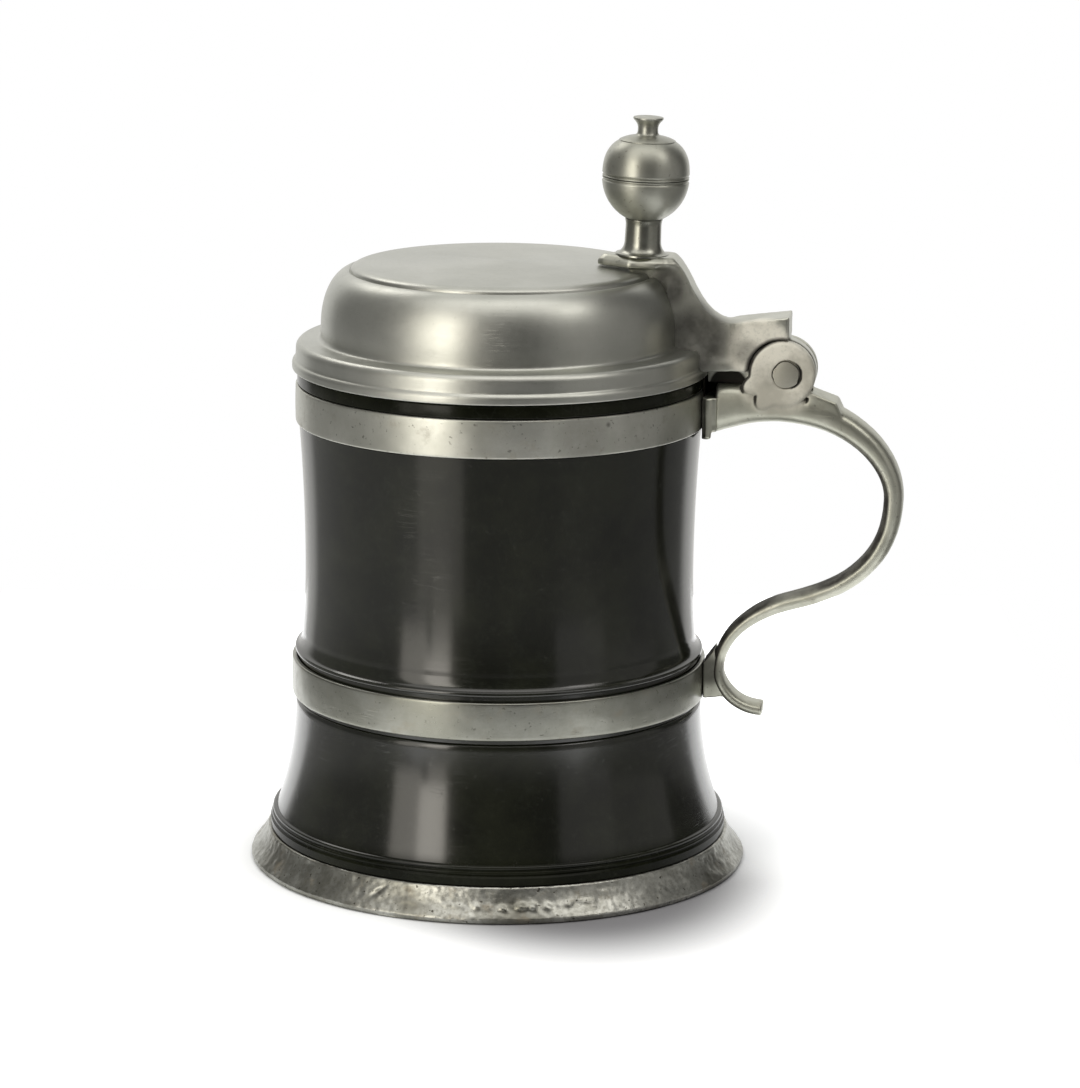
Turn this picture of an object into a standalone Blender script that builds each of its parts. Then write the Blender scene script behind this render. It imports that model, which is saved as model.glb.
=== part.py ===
"""Lidded tankard: a turned stone vessel with pewter mounts and a hinged lid.

Units are metres and degrees, and +Z is up. The origin lies on the vessel's axis at table level.
The handle and the lid's hinge lie towards +X, and the hinge pin runs along Y.
"""

import math

import bmesh
import bpy
from mathutils import Matrix, Vector

# Driving dimensions: clearances
GAP = 0.0003
PIN_CLEARANCE = 0.0002

# Driving dimensions: stone vessel, from the mouth down
DRUM_RADIUS = 0.0529
DRUM_HEIGHT = 0.0572
DRUM_WAIST_INSET = 0.0008
DRUM_WAIST_RISE = 0.0172
DRUM_FLARE = 0.0016
RIM_HEIGHT = 0.0037
RIM_STEP = 0.0005
RIM_ROUNDING = 0.0006
STONE_WALL = 0.0076
FLOOR_THICKNESS = 0.0140
FLOOR_ROUNDING = 0.0080
LEDGE_COVE = 0.0042
LEDGE_HEIGHT = 0.0025
LEDGE_STEP = 0.0020
LEDGE_ROUNDING = 0.0006
SKIRT_HEIGHT = 0.0310
SKIRT_STEP = 0.0019
SKIRT_FLARE = 0.0052
SKIRT_POWER = 2.25
BASE_STEP = 0.0017
BASE_HEIGHT = 0.0024
BASE_BEAD = 0.0013
BASE_BEAD_STEP = 0.0005
BASE_GROOVE = 0.0005
BASE_OVERHANG = 0.0008

# Driving dimensions: pewter foot ring and bands
FOOT_HEIGHT = 0.0094
FOOT_EDGE = 0.0014
FOOT_FLARE = 0.0047
FOOT_HOLLOW = 0.0004
FOOT_LIP = 0.0012
FOOT_LIP_INSET = 0.0004
BAND_WALL = 0.0013
BAND_SEAT = 0.0006
BAND_EDGE = 0.0004
LOWER_BAND_HEIGHT = 0.0102
UPPER_BAND_HEIGHT = 0.0101

# Driving dimensions: lid
LID_OVERHANG = 0.0013
LID_RIM_HEIGHT = 0.0023
LID_RIM_WALL = 0.0029
LID_GROOVE = 0.0004
LID_FLANGE_HEIGHT = 0.0052
LID_FLANGE_INSET = 0.0010
LID_FLANGE_ROUNDING = 0.0020
LID_FLANGE_WIDTH = 0.0046
LID_WALL = 0.0022
LID_WALL_HEIGHT = 0.0042
LID_SHOULDER_RISE = 0.0145
LID_SHOULDER_RUN = 0.0080
DISC_GROOVE = 0.0007
DISC_STEP_RUN = 0.0030
DISC_STEP_RISE = 0.0014
DISC_CROWN = 0.0012

# Driving dimensions: hinge and stop
HINGE_REACH = 0.0198
HINGE_RISE = 0.0015
KNUCKLE_RADIUS = 0.0088
KNUCKLE_WIDTH = 0.0054
LEAF_WIDTH = 0.0036
LOBE_SWELL = 0.0026
LOBE_START = 186.0
LOBE_SPREAD = 34.0
PIN_RADIUS = 0.0024
PIN_HEAD_RADIUS = 0.0036
PIN_HEAD_DEPTH = 0.0010
PIN_HEAD_SHIFT = 0.0014
LID_OPEN_ANGLE = 110.0
STOP_LENGTH = 0.0098
STOP_WIDTH = 0.0110
STOP_DEPTH = 0.0045
STOP_CORNER = 0.0024

# Driving dimensions: handle, from its upper end to the spur
BRACKET_REACH = 0.0034
BRACKET_WIDTH = 0.0130
BRACKET_TOP = 0.0087
BRACKET_HEIGHT = 0.0111
BRACKET_FLANGE = 0.0015
BRACKET_STEP = 0.0020
ARM_LEVEL = 0.0042
ARM_HEIGHT = 0.0112
ARM_DROP = 0.0008
ARM_THICKNESS = 0.0076
ARM_WIDTH = 0.0120
BELLY_REACH = 0.0300
BELLY_DROP = 0.0332
BELLY_THICKNESS = 0.0052
BELLY_WIDTH = 0.0105
SWEEP_REACH = 0.0218
SWEEP_RISE = 0.0277
SWEEP_THICKNESS = 0.0043
SWEEP_WIDTH = 0.0100
TAIL_LEVEL = 0.0076
TAIL_THICKNESS = 0.0030
TAIL_WIDTH = 0.0086
SPUR_REACH = 0.0121
SPUR_DROP = 0.0101
SPUR_THICKNESS = 0.0034
LUG_REACH = 0.0017
LUG_WIDTH = 0.0074
LUG_RISE = 0.0024
LUG_SLANT = 0.0020
LUG_HEIGHT = 0.0126

# Headings along the handle, and how far each curve holds its heading as a share of its span
ARM_START_HEADING = 26.0
ARM_HEADING = -2.5
BELLY_HEADING = -90.0
SWEEP_HEADING = -165.0
TAIL_HEADING = -90.0
SPUR_HEADING = -0.8
ARM_HOLD = 0.35
SHOULDER_HOLD = 0.64
BELLY_HOLD_ABOVE = 0.44
BELLY_HOLD_BELOW = 0.60
SWEEP_HOLD_ABOVE = 0.49
SWEEP_HOLD_BELOW = 0.63
TAIL_HOLD_ABOVE = 0.47
TAIL_HOLD_BELOW = 0.32
SPUR_HOLD = 0.69

# Driving dimensions: lid arm
THUMB_X = 0.0374
PLATE_THICKNESS = 0.0029
PLATE_CHAMFER = 0.0015
PLATE_WIDTH = 0.0142
PLATE_TIP = 0.0117
PLATE_TIP_WIDTH = 0.0060
PLATE_NOSE_WIDTH = 0.0028
PLATE_NOSE_LENGTH = 0.0015
PLATE_SHOULDER = 0.0028
PLATE_END = 0.0029
WEB_WIDTH = 0.0100
WEB_START = 0.0030
SLOPE_CREST = 0.0075
SLOPE_CREST_RUN = 0.0060
SLOPE_CREST_DROP = 0.0018
SLOPE_FOOT_RUN = 0.0090
SLOPE_FOOT_RISE = 0.0014
VALLEY_REACH = 0.0050
BLOCK_RISE = 0.0130
BLOCK_BOTTOM = 0.0018
HEEL_OVERHANG = 0.0017
HEEL_RISE = 0.0022

# Driving dimensions: ball thumbpiece
THUMB_LEAN = 1.8
STEM_RADIUS = 0.0049
STEM_BASE_RADIUS = 0.0069
STEM_HEIGHT = 0.0088
STEM_FLARE = 0.0030
SPIGOT_RADIUS = 0.0026
SPIGOT_LENGTH = 0.0030
BALL_RADIUS = 0.0115
BALL_LOWER_DEPTH = 0.0120
BALL_UPPER_RISE = 0.0109
BALL_UPPER_POWER = 2.7
BALL_WALL = 0.0015
BALL_SEAM = 0.0011
BALL_GROOVE = 0.0004
COLLAR_INSET = 0.0041
COLLAR_THICKNESS = 0.0004
COLLAR_SEAT = 0.0008
NECK_RADIUS = 0.0027
NECK_HEIGHT = 0.0021
BUTTON_RADIUS = 0.0040
BUTTON_FLARE = 0.0016
BUTTON_THICKNESS = 0.0006

# Facets
ROUND_STEPS = 48
SMALL_STEPS = 28
LEAF_STEPS = 40
STRAP_STEPS = 7
STRAP_SIDES = 16
STRAP_ROUNDNESS = 0.7
SLOPE_STEPS = 7
SHARP_ANGLE = 35.0
MERGE_DISTANCE = 0.00001

# Levels along the vessel's axis, from the table up
BASE_Z = FOOT_HEIGHT + GAP
SKIRT_Z = BASE_Z + BASE_HEIGHT + 2.0 * BASE_BEAD
LOWER_BAND_Z = SKIRT_Z + SKIRT_HEIGHT
LEDGE_Z = LOWER_BAND_Z + LOWER_BAND_HEIGHT
DRUM_Z = LEDGE_Z + LEDGE_HEIGHT + LEDGE_COVE
UPPER_BAND_Z = DRUM_Z + DRUM_HEIGHT
RIM_Z = UPPER_BAND_Z + UPPER_BAND_HEIGHT
MOUTH_Z = RIM_Z + RIM_HEIGHT
LID_Z = MOUTH_Z + GAP
FLANGE_Z = LID_Z + LID_RIM_HEIGHT
FLANGE_TOP_Z = FLANGE_Z + LID_FLANGE_HEIGHT
SHOULDER_Z = FLANGE_TOP_Z + LID_WALL_HEIGHT
DISC_Z = SHOULDER_Z + LID_SHOULDER_RISE
HINGE_Z = LID_Z + HINGE_RISE

# Radii and places that follow from the pieces they meet
WAIST_RADIUS = DRUM_RADIUS - DRUM_WAIST_INSET
DRUM_TOP_RADIUS = WAIST_RADIUS + DRUM_FLARE
RIM_RADIUS = DRUM_TOP_RADIUS + RIM_STEP
LEDGE_RADIUS = DRUM_RADIUS + LEDGE_STEP
SKIRT_RADIUS = DRUM_RADIUS + SKIRT_STEP
BASE_RADIUS = SKIRT_RADIUS + SKIRT_FLARE + BASE_STEP
STONE_SEAT_RADIUS = BASE_RADIUS - BASE_OVERHANG - GAP
FOOT_INNER_RADIUS = STONE_SEAT_RADIUS + GAP
FOOT_TOP_RADIUS = FOOT_INNER_RADIUS + FOOT_EDGE
FOOT_RADIUS = FOOT_TOP_RADIUS + FOOT_FLARE
LOWER_SEAT_RADIUS = SKIRT_RADIUS - BAND_SEAT
LOWER_BAND_RADIUS = LOWER_SEAT_RADIUS + GAP + BAND_WALL
UPPER_SEAT_RADIUS = DRUM_TOP_RADIUS - BAND_SEAT
UPPER_BAND_RADIUS = UPPER_SEAT_RADIUS + GAP + BAND_WALL
BORE_RADIUS = UPPER_SEAT_RADIUS - STONE_WALL
LID_RADIUS = RIM_RADIUS + LID_OVERHANG
FLANGE_RADIUS = LID_RADIUS - LID_FLANGE_INSET
DOME_RADIUS = FLANGE_RADIUS - LID_FLANGE_ROUNDING - LID_FLANGE_WIDTH
DISC_RADIUS = DOME_RADIUS - LID_SHOULDER_RUN
HINGE_X = LID_RADIUS + HINGE_REACH
HINGE_HALF_WIDTH = 0.5 * KNUCKLE_WIDTH + GAP + LEAF_WIDTH
BRACKET_X = UPPER_BAND_RADIUS + GAP + BRACKET_REACH
LUG_X = LOWER_BAND_RADIUS + GAP + LUG_REACH

# Colours as seen on the object
STONE_COLOUR = (0.012, 0.014, 0.011, 1.0)
PEWTER_COLOUR = (0.33, 0.32, 0.29, 1.0)
WORN_PEWTER_COLOUR = (0.26, 0.25, 0.22, 1.0)
PIN_COLOUR = (0.20, 0.19, 0.17, 1.0)


def clear_scene():
    """Remove every object, so that the script can be run again."""
    for old in list(bpy.data.objects):
        bpy.data.objects.remove(old, do_unlink=True)


def make_collection(name):
    """Return an empty collection of this name, linked to the scene."""
    old = bpy.data.collections.get(name)
    if old:
        bpy.data.collections.remove(old)
    collection = bpy.data.collections.new(name)
    bpy.context.scene.collection.children.link(collection)
    return collection


def make_material(name, colour, roughness, metallic):
    """Make a Principled material."""
    material = bpy.data.materials.new(name)
    material.use_nodes = True
    shader = material.node_tree.nodes["Principled BSDF"]
    shader.inputs["Base Color"].default_value = colour
    shader.inputs["Roughness"].default_value = roughness
    shader.inputs["Metallic"].default_value = metallic
    return material


def place(name, bm, collection, material=None):
    """Turn a bmesh into a smooth-shaded object."""
    mesh = bpy.data.meshes.new(name)
    bm.to_mesh(mesh)
    bm.free()
    mesh.shade_smooth()
    if mesh.polygons:
        mesh.set_sharp_from_angle(angle=math.radians(SHARP_ANGLE))
    if material:
        mesh.materials.append(material)
    thing = bpy.data.objects.new(name, mesh)
    collection.objects.link(thing)
    return thing


def turned(name, profile, steps, collection, material=None, closed=True):
    """Turn a profile of (radius, height) points, listed down its outer side, about Z."""
    bm = bmesh.new()
    points = [bm.verts.new((radius, 0.0, height)) for radius, height in profile]
    pairs = list(zip(points, points[1:]))
    if closed:
        pairs.append((points[-1], points[0]))
    for start, end in pairs:
        bm.edges.new((start, end))
    thing = place(name, bm, collection, material)
    screw = thing.modifiers.new("Turn", "SCREW")
    screw.axis = "Z"
    screw.steps = steps
    screw.render_steps = steps
    screw.use_merge_vertices = True
    screw.merge_threshold = MERGE_DISTANCE
    screw.use_smooth_shade = True
    return thing


def grow_face(bm, corners, vector):
    """Extrude one face through a vector, and return the vertices that moved."""
    face = bm.faces.new([bm.verts.new(corner) for corner in corners])
    grown = bmesh.ops.extrude_face_region(bm, geom=[face])
    moved = [item for item in grown["geom"] if isinstance(item, bmesh.types.BMVert)]
    bmesh.ops.translate(bm, verts=moved, vec=vector)
    bmesh.ops.recalc_face_normals(bm, faces=bm.faces)
    return moved


def extruded(name, outline, low_y, high_y, collection, material=None):
    """Extrude an outline of (x, z) points along Y, from low_y to high_y."""
    bm = bmesh.new()
    grow_face(bm, [(x, low_y, z) for x, z in outline], (0.0, high_y - low_y, 0.0))
    return place(name, bm, collection, material)


def slab(name, outline, width, collection, material=None):
    """Extrude an outline of (x, z) points by half its width to each side of Y = 0."""
    return extruded(name, outline, -0.5 * width, 0.5 * width, collection, material)


def cross_rod(name, radius, low_y, high_y, centre, collection, material=None):
    """Make a cylinder along Y, round (x, z), from low_y to high_y."""
    bm = bmesh.new()
    bmesh.ops.create_cone(
        bm,
        cap_ends=True,
        segments=SMALL_STEPS,
        radius1=radius,
        radius2=radius,
        depth=high_y - low_y,
        matrix=Matrix.Rotation(math.radians(90.0), 4, "X"),
    )
    thing = place(name, bm, collection, material)
    thing.location = (centre[0], 0.5 * (low_y + high_y), centre[1])
    return thing


def combine(thing, tool, operation):
    """Add a Boolean modifier to an object, and keep its tool as a guide only."""
    modifier = thing.modifiers.new(tool.name, "BOOLEAN")
    modifier.operation = operation
    modifier.object = tool
    modifier.solver = "EXACT"
    tool.hide_render = True
    tool.display_type = "WIRE"


def arc(centre, radius_x, radius_z, start, end, count):
    """Return points on an elliptical arc, angles in degrees from +X."""
    points = []
    for i in range(count + 1):
        angle = math.radians(start + (end - start) * i / count)
        points.append((centre[0] + radius_x * math.cos(angle), centre[1] + radius_z * math.sin(angle)))
    return points


def drum_side():
    """Return the drum's waisted side, from under the upper band to the ledge."""
    waist_z = DRUM_Z + DRUM_WAIST_RISE
    top_z = UPPER_BAND_Z - GAP
    points = []
    for share in (1.0, 0.8, 0.6, 0.4, 0.2, 0.0):
        points.append((WAIST_RADIUS + DRUM_FLARE * share ** 2, waist_z + (top_z - waist_z) * share))
    for share in (1 / 3, 2 / 3, 1.0):
        points.append((WAIST_RADIUS + DRUM_WAIST_INSET * share ** 2, waist_z - DRUM_WAIST_RISE * share))
    return points


def base_beads():
    """Return the two fine beads and the plain base above the foot ring."""
    points = []
    height = SKIRT_Z
    for steps in (2, 1, 0):
        radius = BASE_RADIUS - steps * BASE_BEAD_STEP
        points += [(radius - BASE_GROOVE, height), (radius, height - 0.5 * BASE_BEAD)]
        height -= BASE_BEAD
    return points + [(BASE_RADIUS, BASE_Z)]


def stone_outer():
    """Return the stone's outer side, from the mouth down to its underside."""
    rounding = RIM_ROUNDING
    points = arc((RIM_RADIUS - rounding, MOUTH_Z - rounding), rounding, rounding, 90.0, 0.0, 2)
    points += [
        (RIM_RADIUS, RIM_Z + GAP),
        (UPPER_SEAT_RADIUS, RIM_Z + GAP),
        (UPPER_SEAT_RADIUS, UPPER_BAND_Z - GAP),
    ]
    points += drum_side()
    points += arc((LEDGE_RADIUS, DRUM_Z), LEDGE_STEP, LEDGE_COVE, 180.0, 260.0, 4)[1:]
    points += [
        (LEDGE_RADIUS, DRUM_Z - LEDGE_COVE - LEDGE_ROUNDING),
        (LEDGE_RADIUS, LEDGE_Z + LEDGE_ROUNDING),
        (LEDGE_RADIUS - LEDGE_ROUNDING, LEDGE_Z + GAP),
        (LOWER_SEAT_RADIUS, LEDGE_Z + GAP),
        (LOWER_SEAT_RADIUS, LOWER_BAND_Z - GAP),
    ]
    steps = 6
    for i in range(steps + 1):
        share = i / steps
        height = LOWER_BAND_Z - GAP - (SKIRT_HEIGHT - GAP) * share
        points.append((SKIRT_RADIUS + SKIRT_FLARE * share ** SKIRT_POWER, height))
    points += base_beads()
    return points + [(STONE_SEAT_RADIUS, BASE_Z), (STONE_SEAT_RADIUS, 0.0)]


def build_stone(collection, material):
    """The vessel, turned from one block, with seats for the foot and the bands."""
    rounding = FLOOR_ROUNDING
    corner = (BORE_RADIUS - rounding, FLOOR_THICKNESS + rounding)
    profile = [(0.0, FLOOR_THICKNESS)]
    profile += arc(corner, rounding, rounding, -90.0, 0.0, 4)
    profile += [(BORE_RADIUS, MOUTH_Z)]
    profile += stone_outer()
    profile += [(0.0, 0.0)]
    return turned("stone_body", profile, ROUND_STEPS, collection, material, closed=False)


def build_foot(collection, material):
    """The pewter ring round the stone's base, flush with its underside."""
    middle_radius = 0.5 * (FOOT_TOP_RADIUS + FOOT_RADIUS) - FOOT_HOLLOW
    profile = [
        (FOOT_INNER_RADIUS, FOOT_HEIGHT),
        (FOOT_TOP_RADIUS, FOOT_HEIGHT),
        (middle_radius, 0.5 * (FOOT_HEIGHT + FOOT_LIP)),
        (FOOT_RADIUS, FOOT_LIP),
        (FOOT_RADIUS - FOOT_LIP_INSET, 0.0),
        (FOOT_INNER_RADIUS, 0.0),
    ]
    return turned("foot_ring", profile, ROUND_STEPS, collection, material)


def build_band(name, seat_radius, low_z, height, collection, material):
    """A pewter band with softened edges, held in a shallow seat in the stone."""
    inner = seat_radius + GAP
    outer = inner + BAND_WALL
    profile = [
        (inner, low_z + height),
        (outer - BAND_EDGE, low_z + height),
        (outer, low_z + height - BAND_EDGE),
        (outer, low_z + BAND_EDGE),
        (outer - BAND_EDGE, low_z),
        (inner, low_z),
    ]
    return turned(name, profile, ROUND_STEPS, collection, material)


def crown_level(radius):
    """Return the height of the lid's gently crowned disc at this radius."""
    share = radius / (DISC_RADIUS - DISC_STEP_RUN)
    return DISC_Z + DISC_STEP_RISE + DISC_CROWN * (1.0 - share ** 2)


def lid_outer(grow):
    """Return the lid's outer side from the crown to its lower edge, grown by a clearance."""
    step_radius = DISC_RADIUS - DISC_STEP_RUN
    points = [(share * step_radius, crown_level(share * step_radius) + grow) for share in (0.0, 0.5)]
    points += arc((step_radius, DISC_Z), DISC_STEP_RUN + grow, DISC_STEP_RISE + grow, 90.0, 0.0, 3)
    if not grow:
        points += [(DISC_RADIUS + LID_GROOVE, DISC_Z - DISC_GROOVE)]
    shoulder = (DISC_RADIUS, SHOULDER_Z)
    points += arc(shoulder, LID_SHOULDER_RUN + grow, LID_SHOULDER_RISE + grow, 78.0, 0.0, 6)
    points += [(DOME_RADIUS + grow, FLANGE_TOP_Z + grow)]
    rounding = LID_FLANGE_ROUNDING
    corner = (FLANGE_RADIUS - rounding, FLANGE_TOP_Z - rounding)
    points += arc(corner, rounding + grow, rounding + grow, 90.0, 0.0, 3)
    if not grow:
        inset = LID_RADIUS - LID_GROOVE
        points += [(inset, FLANGE_Z + LID_GROOVE), (inset, FLANGE_Z)]
    points += [(LID_RADIUS + grow, FLANGE_Z - LID_GROOVE + grow), (LID_RADIUS + grow, LID_Z - grow)]
    return points


def build_lid(collection, material):
    """The hollow lid, with a flange that rests on the stone's mouth."""
    rim_inner = LID_RADIUS - LID_RIM_WALL
    dome_inner = DOME_RADIUS - LID_WALL
    roof_z = DISC_Z - LID_WALL
    inside = [
        (rim_inner, LID_Z),
        (rim_inner, FLANGE_TOP_Z - LID_WALL),
        (dome_inner, FLANGE_TOP_Z - LID_WALL),
    ]
    inside += arc((DISC_RADIUS, SHOULDER_Z), dome_inner - DISC_RADIUS, roof_z - SHOULDER_Z, 0.0, 90.0, 5)
    inside += [(0.0, crown_level(0.0) - LID_WALL)]
    profile = lid_outer(0.0) + inside
    return turned("lid", profile, ROUND_STEPS, collection, material, closed=False)


def heading_vector(degrees):
    """Return a unit vector in the handle's plane."""
    return Vector((math.cos(math.radians(degrees)), math.sin(math.radians(degrees))))


def bezier(start, start_handle, end_handle, end, share):
    """Return a point and its direction on a cubic curve in the handle's plane."""
    rest = 1.0 - share
    point = rest ** 3 * start + 3.0 * rest ** 2 * share * start_handle
    point += 3.0 * rest * share ** 2 * end_handle + share ** 3 * end
    slope = 3.0 * rest ** 2 * (start_handle - start) + 6.0 * rest * share * (end_handle - start_handle)
    slope += 3.0 * share ** 2 * (end - end_handle)
    return point, slope.normalized()


def handle_knots():
    """Return the handle's knots: place, heading, reach of both curve handles, and section."""
    start = Vector((BRACKET_X + GAP, UPPER_BAND_Z + ARM_LEVEL))
    arm = Vector((HINGE_X, HINGE_Z - KNUCKLE_RADIUS - ARM_DROP))
    belly = Vector((HINGE_X + BELLY_REACH, HINGE_Z - BELLY_DROP))
    sweep = Vector((LUG_X + SWEEP_REACH, LOWER_BAND_Z + SWEEP_RISE))
    tail = Vector((LUG_X + GAP + 0.5 * TAIL_THICKNESS, LOWER_BAND_Z + TAIL_LEVEL))
    spur = tail + Vector((SPUR_REACH, -SPUR_DROP))
    hold = ARM_HOLD * (arm.x - start.x)
    shoulder = SHOULDER_HOLD * (belly.x - arm.x)
    above_belly = BELLY_HOLD_ABOVE * (arm.y - belly.y)
    below_belly = BELLY_HOLD_BELOW * (belly.y - sweep.y)
    above_sweep = SWEEP_HOLD_ABOVE * (belly.y - sweep.y)
    below_sweep = SWEEP_HOLD_BELOW * (sweep.y - tail.y)
    above_tail = TAIL_HOLD_ABOVE * (sweep.y - tail.y)
    below_tail = TAIL_HOLD_BELOW * SPUR_DROP
    return [
        (start, ARM_START_HEADING, 0.0, hold, ARM_HEIGHT, ARM_WIDTH),
        (arm, ARM_HEADING, hold, shoulder, ARM_THICKNESS, ARM_WIDTH),
        (belly, BELLY_HEADING, above_belly, below_belly, BELLY_THICKNESS, BELLY_WIDTH),
        (sweep, SWEEP_HEADING, above_sweep, below_sweep, SWEEP_THICKNESS, SWEEP_WIDTH),
        (tail, TAIL_HEADING, above_tail, below_tail, TAIL_THICKNESS, TAIL_WIDTH),
        (spur, SPUR_HEADING, SPUR_HOLD * SPUR_REACH, 0.0, SPUR_THICKNESS, TAIL_WIDTH),
    ]


def rounded(value):
    """Bend a sine or cosine so that an ellipse becomes a fuller, strap-like section."""
    return math.copysign(abs(value) ** STRAP_ROUNDNESS, value)


def handle_section(centre, heading, thickness, width):
    """Return one rounded section of the strap, square to its heading."""
    across = Vector((-heading.y, heading.x))
    ring = []
    for i in range(STRAP_SIDES):
        angle = math.tau * (i + 0.5) / STRAP_SIDES
        point = centre + across * (0.5 * thickness * rounded(math.cos(angle)))
        ring.append((point.x, 0.5 * width * rounded(math.sin(angle)), point.y))
    return ring


def strap_sections():
    """Return the strap's sections, which stay upright along the arm from bracket to hinge."""
    knots = handle_knots()
    rings = []
    for first, second in zip(knots, knots[1:]):
        start, heading, _, reach, thick, wide = first
        end, end_heading, end_reach, _, end_thick, end_wide = second
        leave = start + heading_vector(heading) * reach
        arrive = end - heading_vector(end_heading) * end_reach
        steps = STRAP_STEPS + 1 if second is knots[-1] else STRAP_STEPS
        for i in range(steps):
            share = i / STRAP_STEPS
            point, slope = bezier(start, leave, arrive, end, share)
            if first is knots[0]:
                slope = Vector((1.0, 0.0))
            blend = share * share * (3.0 - 2.0 * share)
            thickness = thick + (end_thick - thick) * blend
            width = wide + (end_wide - wide) * blend
            rings.append(handle_section(point, slope, thickness, width))
    return rings


def handle_strap(collection, material):
    """The S-shaped strap, lofted through sections that thin and narrow towards the spur."""
    bm = bmesh.new()
    loops = [[bm.verts.new(point) for point in ring] for ring in strap_sections()]
    for first, second in zip(loops, loops[1:]):
        for i in range(STRAP_SIDES):
            j = (i + 1) % STRAP_SIDES
            bm.faces.new((first[i], first[j], second[j], second[i]))
    bm.faces.new(loops[0])
    bm.faces.new(loops[-1])
    bmesh.ops.recalc_face_normals(bm, faces=bm.faces)
    return place("handle", bm, collection, material)


def turned_back(x, z):
    """Return a point of the closed lid as it lies with the lid fully open."""
    angle = math.radians(-LID_OPEN_ANGLE)
    dx = x - HINGE_X
    dz = z - HINGE_Z
    return (
        HINGE_X + dx * math.cos(angle) - dz * math.sin(angle),
        HINGE_Z + dx * math.sin(angle) + dz * math.cos(angle),
    )


def stop_outline():
    """Return the side view of the pad that the lid arm's heel comes down on."""
    face_x = HINGE_X + HEEL_OVERHANG + GAP
    near_z = HINGE_Z + KNUCKLE_RADIUS - 0.5 * GAP
    far_z = near_z + STOP_LENGTH
    deep_x = face_x + STOP_DEPTH
    side = [
        (face_x, near_z),
        (face_x, far_z - STOP_CORNER),
        (face_x + STOP_CORNER, far_z),
        (deep_x, far_z),
        (deep_x, near_z),
    ]
    return [turned_back(x, z) for x, z in side]


def leaf_outline():
    """Return a hinge leaf's outline: round about the pin, with two lobes towards the vessel."""
    points = []
    for i in range(LEAF_STEPS):
        degrees = 360.0 * i / LEAF_STEPS
        lobe = (degrees - LOBE_START) / LOBE_SPREAD
        radius = KNUCKLE_RADIUS
        if 0.0 < lobe < 2.0:
            radius += LOBE_SWELL * abs(math.sin(math.pi * lobe))
        point = Vector((HINGE_X, HINGE_Z)) + heading_vector(degrees) * radius
        points.append((point.x, point.y))
    return points


def build_handle(collection, tools, material):
    """The cast handle with its two hinge leaves and the stop pad."""
    handle = handle_strap(collection, material)
    centre = (HINGE_X, HINGE_Z)
    inner = 0.5 * KNUCKLE_WIDTH + GAP
    for side, low_y in (("front", -HINGE_HALF_WIDTH), ("rear", inner)):
        leaf = extruded("leaf_" + side, leaf_outline(), low_y, low_y + LEAF_WIDTH, tools)
        combine(handle, leaf, "UNION")
    combine(handle, slab("stop_pad", stop_outline(), STOP_WIDTH, tools), "UNION")
    slot = cross_rod("knuckle_slot", KNUCKLE_RADIUS + GAP, -inner, inner, centre, tools)
    combine(handle, slot, "DIFFERENCE")
    reach = HINGE_HALF_WIDTH + GAP
    bore = cross_rod("leaf_bore", PIN_RADIUS + PIN_CLEARANCE, -reach, reach, centre, tools)
    combine(handle, bore, "DIFFERENCE")
    sink_y = -HINGE_HALF_WIDTH + PIN_HEAD_DEPTH + GAP
    head = (HINGE_X + PIN_HEAD_SHIFT, HINGE_Z)
    sink = cross_rod("head_sink", PIN_HEAD_RADIUS + GAP, -reach, sink_y, head, tools)
    combine(handle, sink, "DIFFERENCE")
    return handle


def build_pin(collection, tools, material):
    """The hinge pin, with its lopsided hammered head sunk flush in the front leaf."""
    half = HINGE_HALF_WIDTH
    pin = cross_rod("hinge_pin", PIN_RADIUS, -half, half, (HINGE_X, HINGE_Z), collection, material)
    beside = (HINGE_X + PIN_HEAD_SHIFT, HINGE_Z)
    head = cross_rod("pin_head", PIN_HEAD_RADIUS, -half - 0.5 * GAP, -half + PIN_HEAD_DEPTH, beside, tools)
    combine(pin, head, "UNION")
    return pin


def fit_to_band(thing, band_radius, top, bottom, tools):
    """Hollow the back of a bracket or lug to the round of the band that it sits on."""
    seat = band_radius + GAP
    profile = [(0.0, top + GAP), (seat, top + GAP), (seat, bottom - GAP), (0.0, bottom - GAP)]
    cut = turned(thing.name + "_seat", profile, ROUND_STEPS, tools, closed=False)
    combine(thing, cut, "DIFFERENCE")


def build_bracket(collection, tools, material):
    """The stepped plate that carries the handle's upper end on the upper band."""
    back = UPPER_BAND_RADIUS - 0.5 * BRACKET_WIDTH
    top = UPPER_BAND_Z + BRACKET_TOP
    bottom = top - BRACKET_HEIGHT
    flange = UPPER_BAND_RADIUS + GAP + BRACKET_FLANGE
    outline = [
        (back, top),
        (BRACKET_X, top),
        (BRACKET_X, bottom + BRACKET_STEP),
        (flange, bottom + BRACKET_STEP),
        (flange, bottom),
        (back, bottom),
    ]
    bracket = slab("upper_bracket", outline, BRACKET_WIDTH, collection, material)
    fit_to_band(bracket, UPPER_BAND_RADIUS, top, bottom, tools)
    return bracket


def build_lug(collection, tools, material):
    """The block that carries the strap's lower end on the lower band."""
    back = LOWER_BAND_RADIUS - 0.5 * LUG_WIDTH
    top = LOWER_BAND_Z + LOWER_BAND_HEIGHT + LUG_RISE
    bottom = top - LUG_HEIGHT
    outline = [
        (back, top - LUG_SLANT),
        (LUG_X - LUG_REACH, top - LUG_SLANT),
        (LUG_X, top),
        (LUG_X, bottom),
        (back, bottom),
    ]
    lug = slab("lower_lug", outline, LUG_WIDTH, collection, material)
    fit_to_band(lug, LOWER_BAND_RADIUS, top, bottom, tools)
    return lug


def plate_level():
    """Return the height of the lid arm's plate, whose tip just clears the lid's disc."""
    return crown_level(THUMB_X - PLATE_TIP) + GAP


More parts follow.
